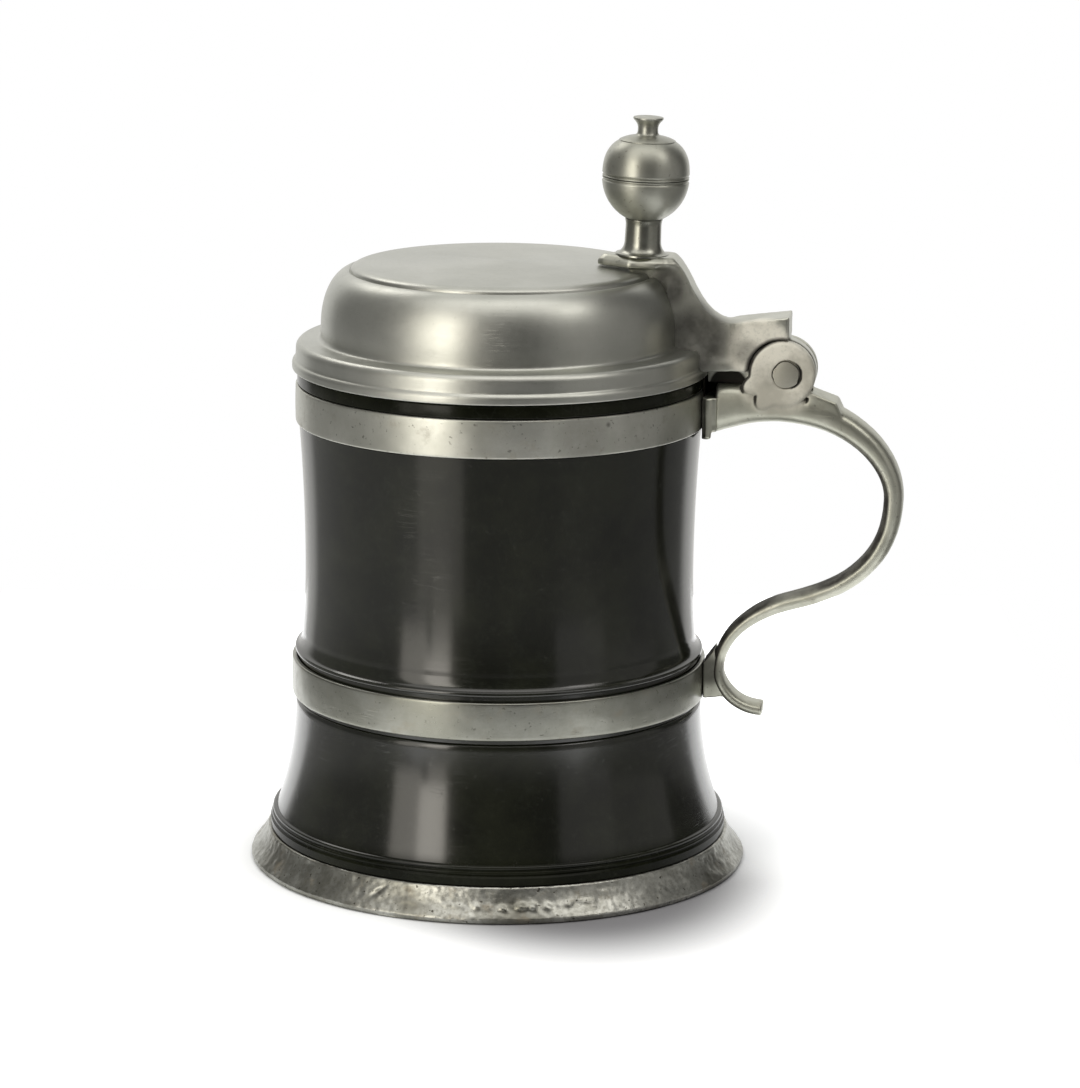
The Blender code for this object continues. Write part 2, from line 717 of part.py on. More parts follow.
def block_outline():
    """Return the side view of the block and heel that reach over the hinge."""
    block_z = HINGE_Z + BLOCK_RISE
    heel_x = HINGE_X + HEEL_OVERHANG
    valley_x = LID_RADIUS + VALLEY_REACH
    return [
        (valley_x, block_z),
        (heel_x, block_z + HEEL_RISE),
        (heel_x, HINGE_Z + 0.5 * KNUCKLE_RADIUS),
        (HINGE_X, HINGE_Z),
        (HINGE_X - KNUCKLE_RADIUS, LID_Z + BLOCK_BOTTOM),
        (valley_x, LID_Z + BLOCK_BOTTOM),
    ]


def arm_outline():
    """Return the lid arm's side view: plate end, hollow slope, and block over the hinge."""
    top = plate_level() + PLATE_THICKNESS
    block = block_outline()
    crest = Vector((THUMB_X + SLOPE_CREST, top))
    valley = Vector(block[0])
    leave = crest + Vector((SLOPE_CREST_RUN, -SLOPE_CREST_DROP))
    arrive = valley + Vector((-SLOPE_FOOT_RUN, SLOPE_FOOT_RISE))
    slope = [bezier(crest, leave, arrive, valley, i / SLOPE_STEPS)[0] for i in range(SLOPE_STEPS)]
    near_x = THUMB_X - WEB_START
    outline = [(near_x, plate_level()), (near_x, top - PLATE_CHAMFER)]
    outline += [(point.x, point.y) for point in slope]
    outline += block[:-1]
    outline += [(DOME_RADIUS, LID_Z + BLOCK_BOTTOM), (DISC_RADIUS, SHOULDER_Z)]
    return outline


def thumb_plate(tools):
    """The pointed plate under the thumbpiece, with chamfered upper edges."""
    half = 0.5 * PLATE_WIDTH
    tip_x = THUMB_X - PLATE_TIP
    end_x = THUMB_X + half + PLATE_END
    near_side = [
        (tip_x, -0.5 * PLATE_NOSE_WIDTH),
        (tip_x + PLATE_NOSE_LENGTH, -0.5 * PLATE_TIP_WIDTH),
        (THUMB_X - PLATE_SHOULDER, -half),
        (THUMB_X + half, -half),
        (end_x, -0.5 * WEB_WIDTH),
    ]
    plan = near_side + [(x, -y) for x, y in reversed(near_side)]
    bm = bmesh.new()
    upper = grow_face(bm, [(x, y, plate_level()) for x, y in plan], (0.0, 0.0, PLATE_THICKNESS))
    rim = [edge for edge in bm.edges if all(vert in upper for vert in edge.verts)]
    bmesh.ops.bevel(bm, geom=rim, offset=PLATE_CHAMFER, segments=1, affect="EDGES")
    return place("thumb_plate", bm, tools)


def build_arm(collection, tools, material):
    """The lid arm: plate, web on the lid, block and heel over the hinge, centre knuckle."""
    arm = slab("lid_arm", arm_outline(), WEB_WIDTH, collection, material)
    block = [(x, z - 0.5 * GAP) for x, z in block_outline()]
    combine(arm, slab("hinge_block", block, 2.0 * HINGE_HALF_WIDTH - GAP, tools), "UNION")
    combine(arm, thumb_plate(tools), "UNION")
    centre = (HINGE_X, HINGE_Z)
    inner = 0.5 * KNUCKLE_WIDTH
    outer = HINGE_HALF_WIDTH + GAP
    for side, low_y, high_y in (("front", -outer, -inner), ("rear", inner, outer)):
        clear = cross_rod("clear_" + side, KNUCKLE_RADIUS + GAP, low_y, high_y, centre, tools)
        combine(arm, clear, "DIFFERENCE")
    combine(arm, cross_rod("arm_knuckle", KNUCKLE_RADIUS, -inner, inner, centre, tools), "UNION")
    lid_profile = lid_outer(GAP) + [(0.0, LID_Z - GAP)]
    combine(arm, turned("lid_seat", lid_profile, ROUND_STEPS, tools, closed=False), "DIFFERENCE")
    bore = cross_rod("arm_bore", PIN_RADIUS + PIN_CLEARANCE, -outer, outer, centre, tools)
    combine(arm, bore, "DIFFERENCE")
    return arm


def ball_rise(radius, widest, rise):
    """Return the height of a full-shouldered dome at this radius."""
    return rise * (1.0 - (radius / widest) ** BALL_UPPER_POWER) ** (1.0 / BALL_UPPER_POWER)


def dome(widest, rise, low_radius, high_radius, centre_z, count):
    """Return points down a full-shouldered dome, from a small radius out to a larger one."""
    half_power = 0.5 * BALL_UPPER_POWER
    start = math.acos((low_radius / widest) ** half_power)
    end = math.acos((high_radius / widest) ** half_power)
    points = []
    for i in range(count + 1):
        angle = start + (end - start) * i / count
        radius = widest * math.cos(angle) ** (1.0 / half_power)
        points.append((radius, centre_z + rise * math.sin(angle) ** (1.0 / half_power)))
    return points


def ball_level():
    """Return the height of the ball's seam above the stem's base."""
    seat = BALL_LOWER_DEPTH * math.sqrt(1.0 - (STEM_RADIUS / BALL_RADIUS) ** 2)
    return STEM_HEIGHT + GAP + seat


def stem_profile():
    """The flared stem, with a spigot that enters the ball."""
    flare = STEM_BASE_RADIUS - STEM_RADIUS
    top = [
        (0.0, STEM_HEIGHT + SPIGOT_LENGTH),
        (SPIGOT_RADIUS, STEM_HEIGHT + SPIGOT_LENGTH),
        (SPIGOT_RADIUS, STEM_HEIGHT),
        (STEM_RADIUS, STEM_HEIGHT),
    ]
    return top + arc((STEM_BASE_RADIUS, STEM_FLARE), flare, STEM_FLARE, 180.0, 270.0, 4) + [(0.0, 0.0)]


def lower_ball_profile():
    """The lower half ball, a hollow shell with a hole for the stem's spigot."""
    ball_z = ball_level()
    hole = SPIGOT_RADIUS + GAP
    hollow = BALL_RADIUS - BALL_WALL
    depth = BALL_LOWER_DEPTH - BALL_WALL
    low = math.degrees(math.acos(STEM_RADIUS / BALL_RADIUS))
    seam = math.degrees(math.asin(BALL_SEAM / BALL_LOWER_DEPTH))
    hollow_low = math.degrees(math.acos(hole / hollow))
    profile = [
        (hollow, ball_z - 0.5 * GAP),
        (BALL_RADIUS, ball_z - 0.5 * GAP),
        (BALL_RADIUS - BALL_GROOVE, ball_z - 0.5 * BALL_SEAM),
    ]
    profile += arc((0.0, ball_z), BALL_RADIUS, BALL_LOWER_DEPTH, -seam, -low, 6)
    profile += [(hole, STEM_HEIGHT + GAP)]
    return profile + arc((0.0, ball_z), hollow, depth, -hollow_low, -seam, 5)


def upper_ball_profile():
    """The upper half ball, a hollow shell that is open under the finial's collar."""
    ball_z = ball_level()
    hollow = BALL_RADIUS - BALL_WALL
    rise = BALL_UPPER_RISE - BALL_WALL
    opening = BALL_RADIUS - COLLAR_INSET - COLLAR_SEAT
    seam_radius = ball_rise(BALL_SEAM, BALL_UPPER_RISE, BALL_RADIUS)
    hollow_radius = ball_rise(BALL_SEAM, rise, hollow)
    profile = dome(BALL_RADIUS, BALL_UPPER_RISE, opening, seam_radius, ball_z, 5)
    profile += [
        (BALL_RADIUS - BALL_GROOVE, ball_z + 0.5 * BALL_SEAM),
        (BALL_RADIUS, ball_z + 0.5 * GAP),
        (hollow, ball_z + 0.5 * GAP),
    ]
    return profile + list(reversed(dome(hollow, rise, opening, hollow_radius, ball_z, 4)))


def finial_profile():
    """The finial: a waisted neck with a button, on a collar that covers the ball's opening."""
    seat_z = ball_level() + GAP
    collar = dome(BALL_RADIUS, BALL_UPPER_RISE, NECK_RADIUS, BALL_RADIUS - COLLAR_INSET, seat_z, 2)
    neck_z = seat_z + BALL_UPPER_RISE + COLLAR_THICKNESS + NECK_HEIGHT
    button_z = neck_z + BUTTON_FLARE
    profile = [
        (0.0, button_z + BUTTON_THICKNESS),
        (BUTTON_RADIUS, button_z + BUTTON_THICKNESS),
        (BUTTON_RADIUS, button_z),
        (NECK_RADIUS, neck_z),
    ]
    profile += [(radius, height + COLLAR_THICKNESS) for radius, height in collar]
    return profile + list(reversed(collar)) + [(0.0, seat_z + BALL_UPPER_RISE)]


def build_thumbpiece(collection, material):
    """The ball thumbpiece: stem, two half balls and finial on one axis that leans a little."""
    pieces = [
        turned("thumb_stem", stem_profile(), SMALL_STEPS, collection, material, closed=False),
        turned("thumb_ball_lower", lower_ball_profile(), SMALL_STEPS, collection, material),
        turned("thumb_ball_upper", upper_ball_profile(), SMALL_STEPS, collection, material),
        turned("thumb_finial", finial_profile(), SMALL_STEPS, collection, material, closed=False),
    ]
    lean = math.radians(THUMB_LEAN)
    base_z = plate_level() + PLATE_THICKNESS + GAP + STEM_BASE_RADIUS * math.sin(lean)
    for piece in pieces:
        piece.location = (THUMB_X, 0.0, base_z)
        piece.rotation_euler = (0.0, lean, 0.0)
    return pieces


def hang_on_hinge(pieces, collection):
    """Parent the lid's pieces to an empty on the hinge axis, without moving them."""
    pivot = bpy.data.objects.new("lid_pivot", None)
    pivot.location = (HINGE_X, 0.0, HINGE_Z)
    collection.objects.link(pivot)
    for piece in pieces:
        piece.parent = pivot
        piece.location -= pivot.location


def main():
    """Build every piece of the tankard."""
    clear_scene()
    parts = make_collection("lidded_tankard")
    tools = make_collection("cutters")
    stone = make_material("dark_serpentine", STONE_COLOUR, roughness=0.22, metallic=0.0)
    pewter = make_material("turned_pewter", PEWTER_COLOUR, roughness=0.32, metallic=1.0)
    worn = make_material("worn_pewter", WORN_PEWTER_COLOUR, roughness=0.42, metallic=1.0)
    cast = make_material("cast_pewter", PEWTER_COLOUR, roughness=0.40, metallic=1.0)
    pin_metal = make_material("pin_metal", PIN_COLOUR, roughness=0.45, metallic=1.0)

    build_stone(parts, stone)
    build_foot(parts, worn)
    build_band("lower_band", LOWER_SEAT_RADIUS, LOWER_BAND_Z, LOWER_BAND_HEIGHT, parts, worn)
    build_band("upper_band", UPPER_SEAT_RADIUS, UPPER_BAND_Z, UPPER_BAND_HEIGHT, parts, worn)
    build_bracket(parts, tools, cast)
    build_lug(parts, tools, cast)
    build_handle(parts, tools, cast)
    build_pin(parts, tools, pin_metal)
    hinged = [build_lid(parts, pewter), build_arm(parts, tools, cast)]
    hinged += build_thumbpiece(parts, pewter)
    hang_on_hinge(hinged, parts)


main()
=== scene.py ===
"""Looks of the lidded tankard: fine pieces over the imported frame, materials, light and camera.

Shapes are worked out in millimetres and turned into metres when a mesh is made. A profile lists
(radius, height) points and an outline (x, z) points; a third number is that corner's rounding.
"""

import math
from contextlib import contextmanager

import bmesh
import bpy
from mathutils import Matrix, Vector, noise


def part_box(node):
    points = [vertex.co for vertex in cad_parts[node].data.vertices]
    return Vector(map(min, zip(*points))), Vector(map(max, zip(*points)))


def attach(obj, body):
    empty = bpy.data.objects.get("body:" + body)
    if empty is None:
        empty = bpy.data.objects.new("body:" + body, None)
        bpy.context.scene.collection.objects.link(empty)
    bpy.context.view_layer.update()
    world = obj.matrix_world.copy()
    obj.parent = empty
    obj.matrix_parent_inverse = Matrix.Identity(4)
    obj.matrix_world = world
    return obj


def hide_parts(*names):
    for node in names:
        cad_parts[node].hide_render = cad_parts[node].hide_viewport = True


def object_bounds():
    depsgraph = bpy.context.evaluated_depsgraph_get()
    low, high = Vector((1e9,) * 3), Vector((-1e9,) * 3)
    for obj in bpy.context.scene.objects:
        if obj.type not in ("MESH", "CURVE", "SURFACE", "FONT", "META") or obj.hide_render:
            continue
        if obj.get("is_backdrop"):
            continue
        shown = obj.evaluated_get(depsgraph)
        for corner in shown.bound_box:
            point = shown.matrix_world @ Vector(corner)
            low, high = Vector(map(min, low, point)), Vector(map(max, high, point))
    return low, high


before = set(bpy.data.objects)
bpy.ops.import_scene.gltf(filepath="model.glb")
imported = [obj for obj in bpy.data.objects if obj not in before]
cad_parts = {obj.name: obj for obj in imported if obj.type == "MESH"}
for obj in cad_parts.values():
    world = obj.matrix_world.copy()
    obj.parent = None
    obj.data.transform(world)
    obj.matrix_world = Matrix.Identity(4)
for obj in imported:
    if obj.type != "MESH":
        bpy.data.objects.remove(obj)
cad_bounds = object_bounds()

MM = 0.001

# Fineness of the meshes: steps round a lathe, then the longest spans in a profile
BIG_STEPS = 288
FOOT_STEPS = 960
SMALL_STEPS = 96
CORNER_STEPS = 6
FINE_STEP = 0.7
STONE_STEP = 1.3
FOOT_STEP = 0.45
THUMB_STEP = 0.4
FINIAL_STEP = 0.3
LID_INSIDE_STEP = 2.0
COARSE_STEP = 4.0
STRAP_SIDES = 40
STRAP_STEPS = 16
SHARP_ANGLE = 50.0
POLE = 0.0001

# Direction of the camera round the vessel, in degrees; its side is measured from +X
CAMERA_AZIMUTH = 8.0
CAMERA_SIDE = CAMERA_AZIMUTH - 90.0


def levels(node):
    """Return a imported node's lowest and highest level and its reach along X, in millimetres."""
    low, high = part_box(node)
    low = Vector(low) / MM
    high = Vector(high) / MM
    return low.z, high.z, high.x


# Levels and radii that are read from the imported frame
FOOT_DROP = 0.9
_, FOOT_TOP, FOOT_RADIUS = levels("foot_ring")
FOOT_HEIGHT = FOOT_TOP - FOOT_DROP
LOWER_BAND_LOW, LOWER_BAND_HIGH, LOWER_BAND_RADIUS = levels("lower_band")
UPPER_BAND_LOW, UPPER_BAND_HIGH, UPPER_BAND_RADIUS = levels("upper_band")
_, MOUTH_Z, BASE_RADIUS = levels("stone_body")
LID_Z, _, LID_RADIUS = levels("lid")

# Castings: grain and passes of the melting, then depth, scale and seed of the hammering
CASTINGS = {
    "upper_bracket_fine": ((0.3, 5), (0.12, 0.35, 3.0)),
    "bracket_packing": ((0.25, 2), (0.2, 0.6, 6.0)),
    "lower_lug_fine": ((0.3, 6), (0.15, 0.30, 5.0)),
    "handle_fine": ((0.38, 6), (0.10, 0.16, 1.0)),
    "lid_arm_fine": ((0.38, 7), (0.12, 0.22, 8.0)),
}

# Stone vessel
GAP = 0.3
BAND_WALL = 1.3
RIM_RADIUS = 54.2
DRUM_TOP_RADIUS = 53.7
WAIST_RADIUS = 52.1
DRUM_RADIUS = 52.9
WAIST_RISE = 17.2
LEDGE_HEIGHT = 2.5
LEDGE_RADIUS = 54.9
COVE_RUN = 2.0
COVE_RISE = 4.2
SKIRT_RADIUS = 54.8
SKIRT_FLARE = 5.2
SKIRT_POWER = 2.25
SKIRT_SHOULDER = 1.3
SKIRT_CLEARANCE = 1.1
BASE_HEIGHT = 2.4
BASE_BEAD = 1.3
BASE_BEAD_STEP = 0.3
BASE_GROOVE = 0.6
STONE_SEAT_RADIUS = 60.6
BORE_RADIUS = 45.5
FLOOR_Z = 14.0
FLOOR_ROUNDING = 8.0
DRUM_Z = LOWER_BAND_HIGH + LEDGE_HEIGHT + COVE_RISE
SKIRT_Z = FOOT_HEIGHT + GAP + BASE_HEIGHT + 2.0 * BASE_BEAD

# Foot ring, with the waves (depth and scale), the chain of knocks, the nick and the dent in its face
FOOT_INNER_RADIUS = 60.9
FOOT_TOP_RADIUS = 62.3
FOOT_LIP = 1.2
FOOT_WAVES = [(0.14, 0.09), (0.10, 0.33), (0.09, 0.8)]
KNOCKS_Z = FOOT_HEIGHT - 4.4
KNOCKS_BEARING = 7.0
KNOCKS_SPREAD = 14.0
KNOCKS_HEIGHT = 1.1
NICK_Z = FOOT_HEIGHT - 3.1
NICK_BEARING = -29.0
NICK_DEPTH = 0.55
DENT_Z = 3.0
DENT_BEARING = 48.0
DENT_DEPTH = 0.35

# Lid
LID_RIM_HEIGHT = 2.3
LID_RIM_WALL = 2.9
LID_WALL = 2.2
FLANGE_RADIUS = LID_RADIUS - 1.0
FLANGE_HEIGHT = 5.2
FLANGE_ROUNDING = 2.0
DOME_RADIUS = 47.9
DOME_WALL_HEIGHT = 4.2
SHOULDER_RUN = 8.0
SHOULDER_RISE = 14.5
DISC_STEP_RUN = 3.0
DISC_STEP_RISE = 1.4
DISC_CROWN = 1.2
FLANGE_Z = LID_Z + LID_RIM_HEIGHT
FLANGE_TOP_Z = FLANGE_Z + FLANGE_HEIGHT
FLANGE_CORNER = (FLANGE_RADIUS - FLANGE_ROUNDING, FLANGE_TOP_Z - FLANGE_ROUNDING)
SHOULDER_Z = FLANGE_TOP_Z + DOME_WALL_HEIGHT
DISC_Z = SHOULDER_Z + SHOULDER_RISE
DISC_RADIUS = DOME_RADIUS - SHOULDER_RUN
CROWN_RADIUS = DISC_RADIUS - DISC_STEP_RUN

# Hinge
HINGE_X = LID_RADIUS + 19.8
HINGE_Z = LID_Z + 1.5
KNUCKLE_RADIUS = 8.8
KNUCKLE_HALF_WIDTH = 2.7
LEAF_WIDTH = 3.6
LEAF_INNER = KNUCKLE_HALF_WIDTH + GAP
HINGE_HALF_WIDTH = LEAF_INNER + LEAF_WIDTH
HINGE_CLEAR = HINGE_HALF_WIDTH + 1.0
LOBE_SWELL = 2.6
LOBE_START = 186.0
LOBE_SPREAD = 34.0
PIN_RADIUS = 2.4
PIN_PLAY = 0.2
PIN_HEAD_RADIUS = 3.6
PIN_HEAD_DEPTH = 1.0
PIN_HEAD_SHIFT = 1.4
PIN_HEAD_MEAN = 0.96
PIN_HEAD_SWELL = 0.05
PIN_HEAD_FLAT = 0.86
LID_OPEN_ANGLE = 110.0
HEEL_X = HINGE_X + 1.7
HEEL_RISE = 2.2
STOP_LENGTH = 9.8
STOP_WIDTH = 11.0
STOP_DEPTH = 4.5
STOP_CORNER = 2.4

# Bracket and lug
SEAT_PLAY = 0.1
BRACKET_X = UPPER_BAND_RADIUS + GAP + 3.4
BRACKET_WIDTH = 13.0
BRACKET_TOP = UPPER_BAND_LOW + 8.7
BRACKET_HEIGHT = 11.1
BRACKET_FLANGE = 1.5
BRACKET_STEP = 2.0
RIDGE_RADIUS = 1.0
RIDGE_INSET = 0.3
RIDGE_SINK = 0.5
# Plan of the near-black packing between the bracket, the rim and the hinge: dirt and old solder, dark also as
# painted shade in that gap
PACKING = [(50.0, -3.4), (54.85, -3.4), (54.85, 3.0), (63.0, 3.0), (63.0, 6.0), (50.0, 6.0)]
PACKING_BOTTOM = 127.8
PACKING_TOP = 133.2
LUG_REACH = 1.7
LUG_X = LOWER_BAND_RADIUS + GAP + LUG_REACH
LUG_WIDTH = 7.4
LUG_RISE = 2.4
LUG_SLANT = 2.0
LUG_HEIGHT = 12.6

# Handle, knot by knot: place, heading, reach before and after, thickness, width
STRAP_ROUNDNESS = 0.7
HANDLE_KNOTS = [
    (BRACKET_X - 0.6, UPPER_BAND_LOW + 5.2, 20.0, 0.0, 5.81, 13.0, 12.0),
    (HINGE_X, HINGE_Z - 9.6, -2.5, 5.81, 19.2, 7.6, 12.0),
    (HINGE_X + 30.0, HINGE_Z - 33.2, -90.0, 10.38, 17.28, 5.2, 10.5),
    (LUG_X + 21.8, LOWER_BAND_LOW + 27.7, -165.0, 14.11, 12.66, 4.3, 10.0),
    (LUG_X + 1.8, LOWER_BAND_LOW + 7.6, -90.0, 9.45, 3.23, 3.0, 8.6),
    (LUG_X + 13.9, LOWER_BAND_LOW - 2.5, -0.8, 8.35, 0.0, 3.4, 8.6),
]

# Lid arm
THUMB_X = 37.4
PLATE_THICKNESS = 2.9
PLATE_CHAMFER = 1.5
PLATE_WIDTH = 14.2
PLATE_TIP = 11.7
PLATE_TIP_WIDTH = 6.0
PLATE_NOSE_WIDTH = 2.8
PLATE_NOSE_LENGTH = 1.5
PLATE_SHOULDER = 2.8
PLATE_END = 2.9
WEB_WIDTH = 10.0
WEB_START = 3.0
WEB_CORE = 3.8
WEB_RUBBING = 40
SLOPE_CREST = 7.5
SLOPE_LEAVE = Vector((6.0, -1.8))
SLOPE_ARRIVE = Vector((-9.0, 1.4))
VALLEY_X = LID_RADIUS + 5.0
BLOCK_Z = HINGE_Z + 13.0
BLOCK_LOW_Z = LID_Z + 1.8
SOLDER_DEPTH = 0.5
# Solder films between arm and lid: width and thickness; they melt into one hollow fillet
SOLDER_FILMS = [(16.6, 0.6), (14.4, 1.4), (12.5, 2.7), (11.2, 4.4)]
SOLDER_START = DISC_RADIUS + 4.5
SOLDER_END = LID_RADIUS + 1.0
SOLDER_TOP = DISC_Z - 0.6
# Steps that ease the web into the wider block: how far ahead, and the width
BLOCK_EASING = [(0.0, 10.6), (1.2, 11.6), (2.2, 12.9)]
# Plan of the fillet between the lid's flange and the block, near side
GUSSET = [(50.0, -11.8), (53.2, -10.0), (55.8, -8.2), (58.8, -6.9), (63.0, -6.3), (63.0, 0.0), (50.0, 0.0)]
GUSSET_HEIGHT = 3.0
# Side view of the tongue that runs down from the block between the two leaves; it fills the gap under the
# block, and painted shade makes it dark
TONGUE = [(55.4, 137.0), (55.4, 131.9), (61.0, 131.9), (66.4, 131.9), (66.4, 137.0)]
TONGUE_WIDTH = 4.7

# Ball thumbpiece, with heights above the stem's base
THUMB_LEAN = math.radians(1.8)
STEM_RADIUS = 4.9
STEM_BASE_RADIUS = 6.9
STEM_HEIGHT = 8.8
STEM_FLARE = 3.0
SPIGOT_RADIUS = 2.6
BALL_RADIUS = 11.5
BALL_LOWER_DEPTH = 12.0
BALL_UPPER_RISE = 10.9
BALL_UPPER_POWER = 2.7
BALL_SEAM = 1.1
BALL_GROOVE = 0.45
BALL_HOLLOW = BALL_RADIUS - 1.5
BALL_Z = STEM_HEIGHT + GAP + BALL_LOWER_DEPTH * math.sqrt(1.0 - (STEM_RADIUS / BALL_RADIUS) ** 2)
COLLAR_RADIUS = 7.4
COLLAR_THICKNESS = 0.4
NECK_RADIUS = 2.7
NECK_HEIGHT = 2.1
BUTTON_RADIUS = 4.0
BUTTON_FLARE = 1.6
BUTTON_THICKNESS = 0.6


# Shapes: profiles and outlines

def arc(centre_x, centre_z, radius_x, radius_z, start, end, count):
    """Return points on an elliptical arc, angles in degrees from +X."""
    points = []
    for i in range(count + 1):
        angle = math.radians(start + (end - start) * i / count)
        points.append((centre_x + radius_x * math.cos(angle), centre_z + radius_z * math.sin(angle)))
    return points


def at(radius, height, *offsets):
    """Return points given by their offsets from a radius and a height."""
    return [(radius + out, height + up, *rounding) for out, up, *rounding in offsets]


def softened(points, step=FINE_STEP):
    """Round the corners that carry a rounding, and fill the long spans."""
    soft = []
    for i, point in enumerate(points):
        place = Vector(point[:2])
        if len(point) < 3 or i in (0, len(points) - 1):
            soft.append(place)
            continue
        back = Vector(points[i - 1][:2]) - place
        ahead = Vector(points[i + 1][:2]) - place
        start = place + back.normalized() * min(point[2], 0.48 * back.length)
        end = place + ahead.normalized() * min(point[2], 0.48 * ahead.length)
        for k in range(CORNER_STEPS + 1):
            share = k / CORNER_STEPS
            soft.append(start.lerp(place, share).lerp(place.lerp(end, share), share))
    filled = []
    for first, second in zip(soft, soft[1:]):
        count = max(1, math.ceil((second - first).length / step))
        filled += [first.lerp(second, k / count) for k in range(count)]
    return filled + [soft[-1]]


def flare(radius, swell, start_z, rise, shares, power=2):
    """Return points on a side that swells from a radius by a power of its height."""
    return [(radius + swell * share ** power, start_z + rise * share) for share in shares]


def drum_side():
    """Return the drum's waisted side, from the upper band to the cove."""
    waist_z = DRUM_Z + WAIST_RISE
    rise = UPPER_BAND_LOW - GAP - waist_z
    upper = [1.0 - i / 24 for i in range(25)]
    lower = [i / 10 for i in range(1, 10)]
    points = flare(WAIST_RADIUS, DRUM_TOP_RADIUS - WAIST_RADIUS, waist_z, rise, upper)
    return points + flare(WAIST_RADIUS, DRUM_RADIUS - WAIST_RADIUS, waist_z, -WAIST_RISE, lower)


def skirt_side():
    """Return the flared skirt, from its rounded shoulder to the beads."""
    centre = (SKIRT_RADIUS - SKIRT_SHOULDER, LOWER_BAND_LOW - SKIRT_CLEARANCE - SKIRT_SHOULDER)
    points = arc(*centre, SKIRT_SHOULDER, SKIRT_SHOULDER, 90.0, 5.0, 8)
    rise = SKIRT_Z - LOWER_BAND_LOW
    shares = [i / 40 for i in range(3, 41)]
    return points + flare(SKIRT_RADIUS, SKIRT_FLARE, LOWER_BAND_LOW, rise, shares, SKIRT_POWER)


def base_beads():
    """Return the two fine beads and the plain base above the foot ring."""
    bead = [(-BASE_GROOVE, 0.0, 0.2), (0.0, -0.25 * BASE_BEAD, 0.3), (0.0, -0.75 * BASE_BEAD, 0.3)]
    points = at(BASE_RADIUS - 2 * BASE_BEAD_STEP, SKIRT_Z, *bead)
    points += at(BASE_RADIUS - BASE_BEAD_STEP, SKIRT_Z - BASE_BEAD, *bead)
    base_z = SKIRT_Z - BASE_BEAD - BASE_BEAD
    return points + at(BASE_RADIUS, base_z, (-BASE_GROOVE, 0.0, 0.2), (0.0, -0.5, 0.4))


def stone_profile():
    """Return the stone vessel's profile, from its floor round to its underside."""
    seat = UPPER_BAND_RADIUS - BAND_WALL - GAP
    lower_seat = LOWER_BAND_RADIUS - BAND_WALL - GAP
    corner = (BORE_RADIUS - FLOOR_ROUNDING, FLOOR_Z + FLOOR_ROUNDING)
    bore = [(0.0, FLOOR_Z), *arc(*corner, FLOOR_ROUNDING, FLOOR_ROUNDING, -90.0, 0.0, 12)]
    bore += [(BORE_RADIUS, MOUTH_Z - 2.0)]
    outside = [
        (BORE_RADIUS, MOUTH_Z, 1.2), (RIM_RADIUS, MOUTH_Z, 0.7), (RIM_RADIUS, UPPER_BAND_HIGH + GAP, 0.3),
        (seat, UPPER_BAND_HIGH + GAP), (seat, UPPER_BAND_LOW - GAP),
        *drum_side(),
        *arc(LEDGE_RADIUS, DRUM_Z, COVE_RUN, COVE_RISE, 180.0, 258.0, 10),
        (LEDGE_RADIUS, DRUM_Z - COVE_RISE - 0.1, 0.5), (LEDGE_RADIUS, LOWER_BAND_HIGH + 1.4, 0.5),
        (lower_seat, LOWER_BAND_HIGH + 1.2), (lower_seat, LOWER_BAND_LOW - SKIRT_CLEARANCE),
        *skirt_side(), *base_beads(),
    ]
    base = [(BASE_RADIUS, FOOT_HEIGHT + GAP, 0.4), (STONE_SEAT_RADIUS, FOOT_HEIGHT + GAP)]
    base += [(STONE_SEAT_RADIUS, 0.0, 0.5), (0.0, 0.0)]
    return softened(bore, COARSE_STEP) + softened(outside, STONE_STEP) + softened(base, COARSE_STEP)


def foot_profile():
    """Return the foot ring's profile: thin upper edge, soft ridge, lip and underside."""
    return softened([
        (FOOT_INNER_RADIUS, FOOT_HEIGHT - 1.0), (FOOT_INNER_RADIUS, FOOT_HEIGHT, 0.3),
        *at(FOOT_TOP_RADIUS, FOOT_HEIGHT, (0.0, 0.0, 0.5), (0.6, -1.5, 1.0), (2.1, -4.2, 1.2)),
        *at(FOOT_RADIUS, FOOT_LIP, (-0.5, 0.7, 0.5), (0.0, 0.0, 0.35)),
        (FOOT_RADIUS - 0.3, 0.0, 0.4), (FOOT_INNER_RADIUS, 0.0, 0.3),
        (FOOT_INNER_RADIUS, FOOT_HEIGHT - 1.0),
    ], FOOT_STEP)


def band_profile(low_z, high_z, radius):
    """Return a band's profile, with soft edges and a slightly full face."""
    inner = radius - BAND_WALL
    middle_z = 0.5 * (low_z + high_z)
    return softened([
        (inner, middle_z), (inner, high_z, 0.2), (radius - 0.1, high_z, 0.6), (radius, middle_z, 3.0),
        (radius - 0.1, low_z, 0.6), (inner, low_z, 0.2), (inner, middle_z),
    ])


def crown_level(radius):
    """Return the height of the lid's gently crowned disc at this radius."""
    return DISC_Z + DISC_STEP_RISE + DISC_CROWN * (1.0 - (radius / CROWN_RADIUS) ** 2)


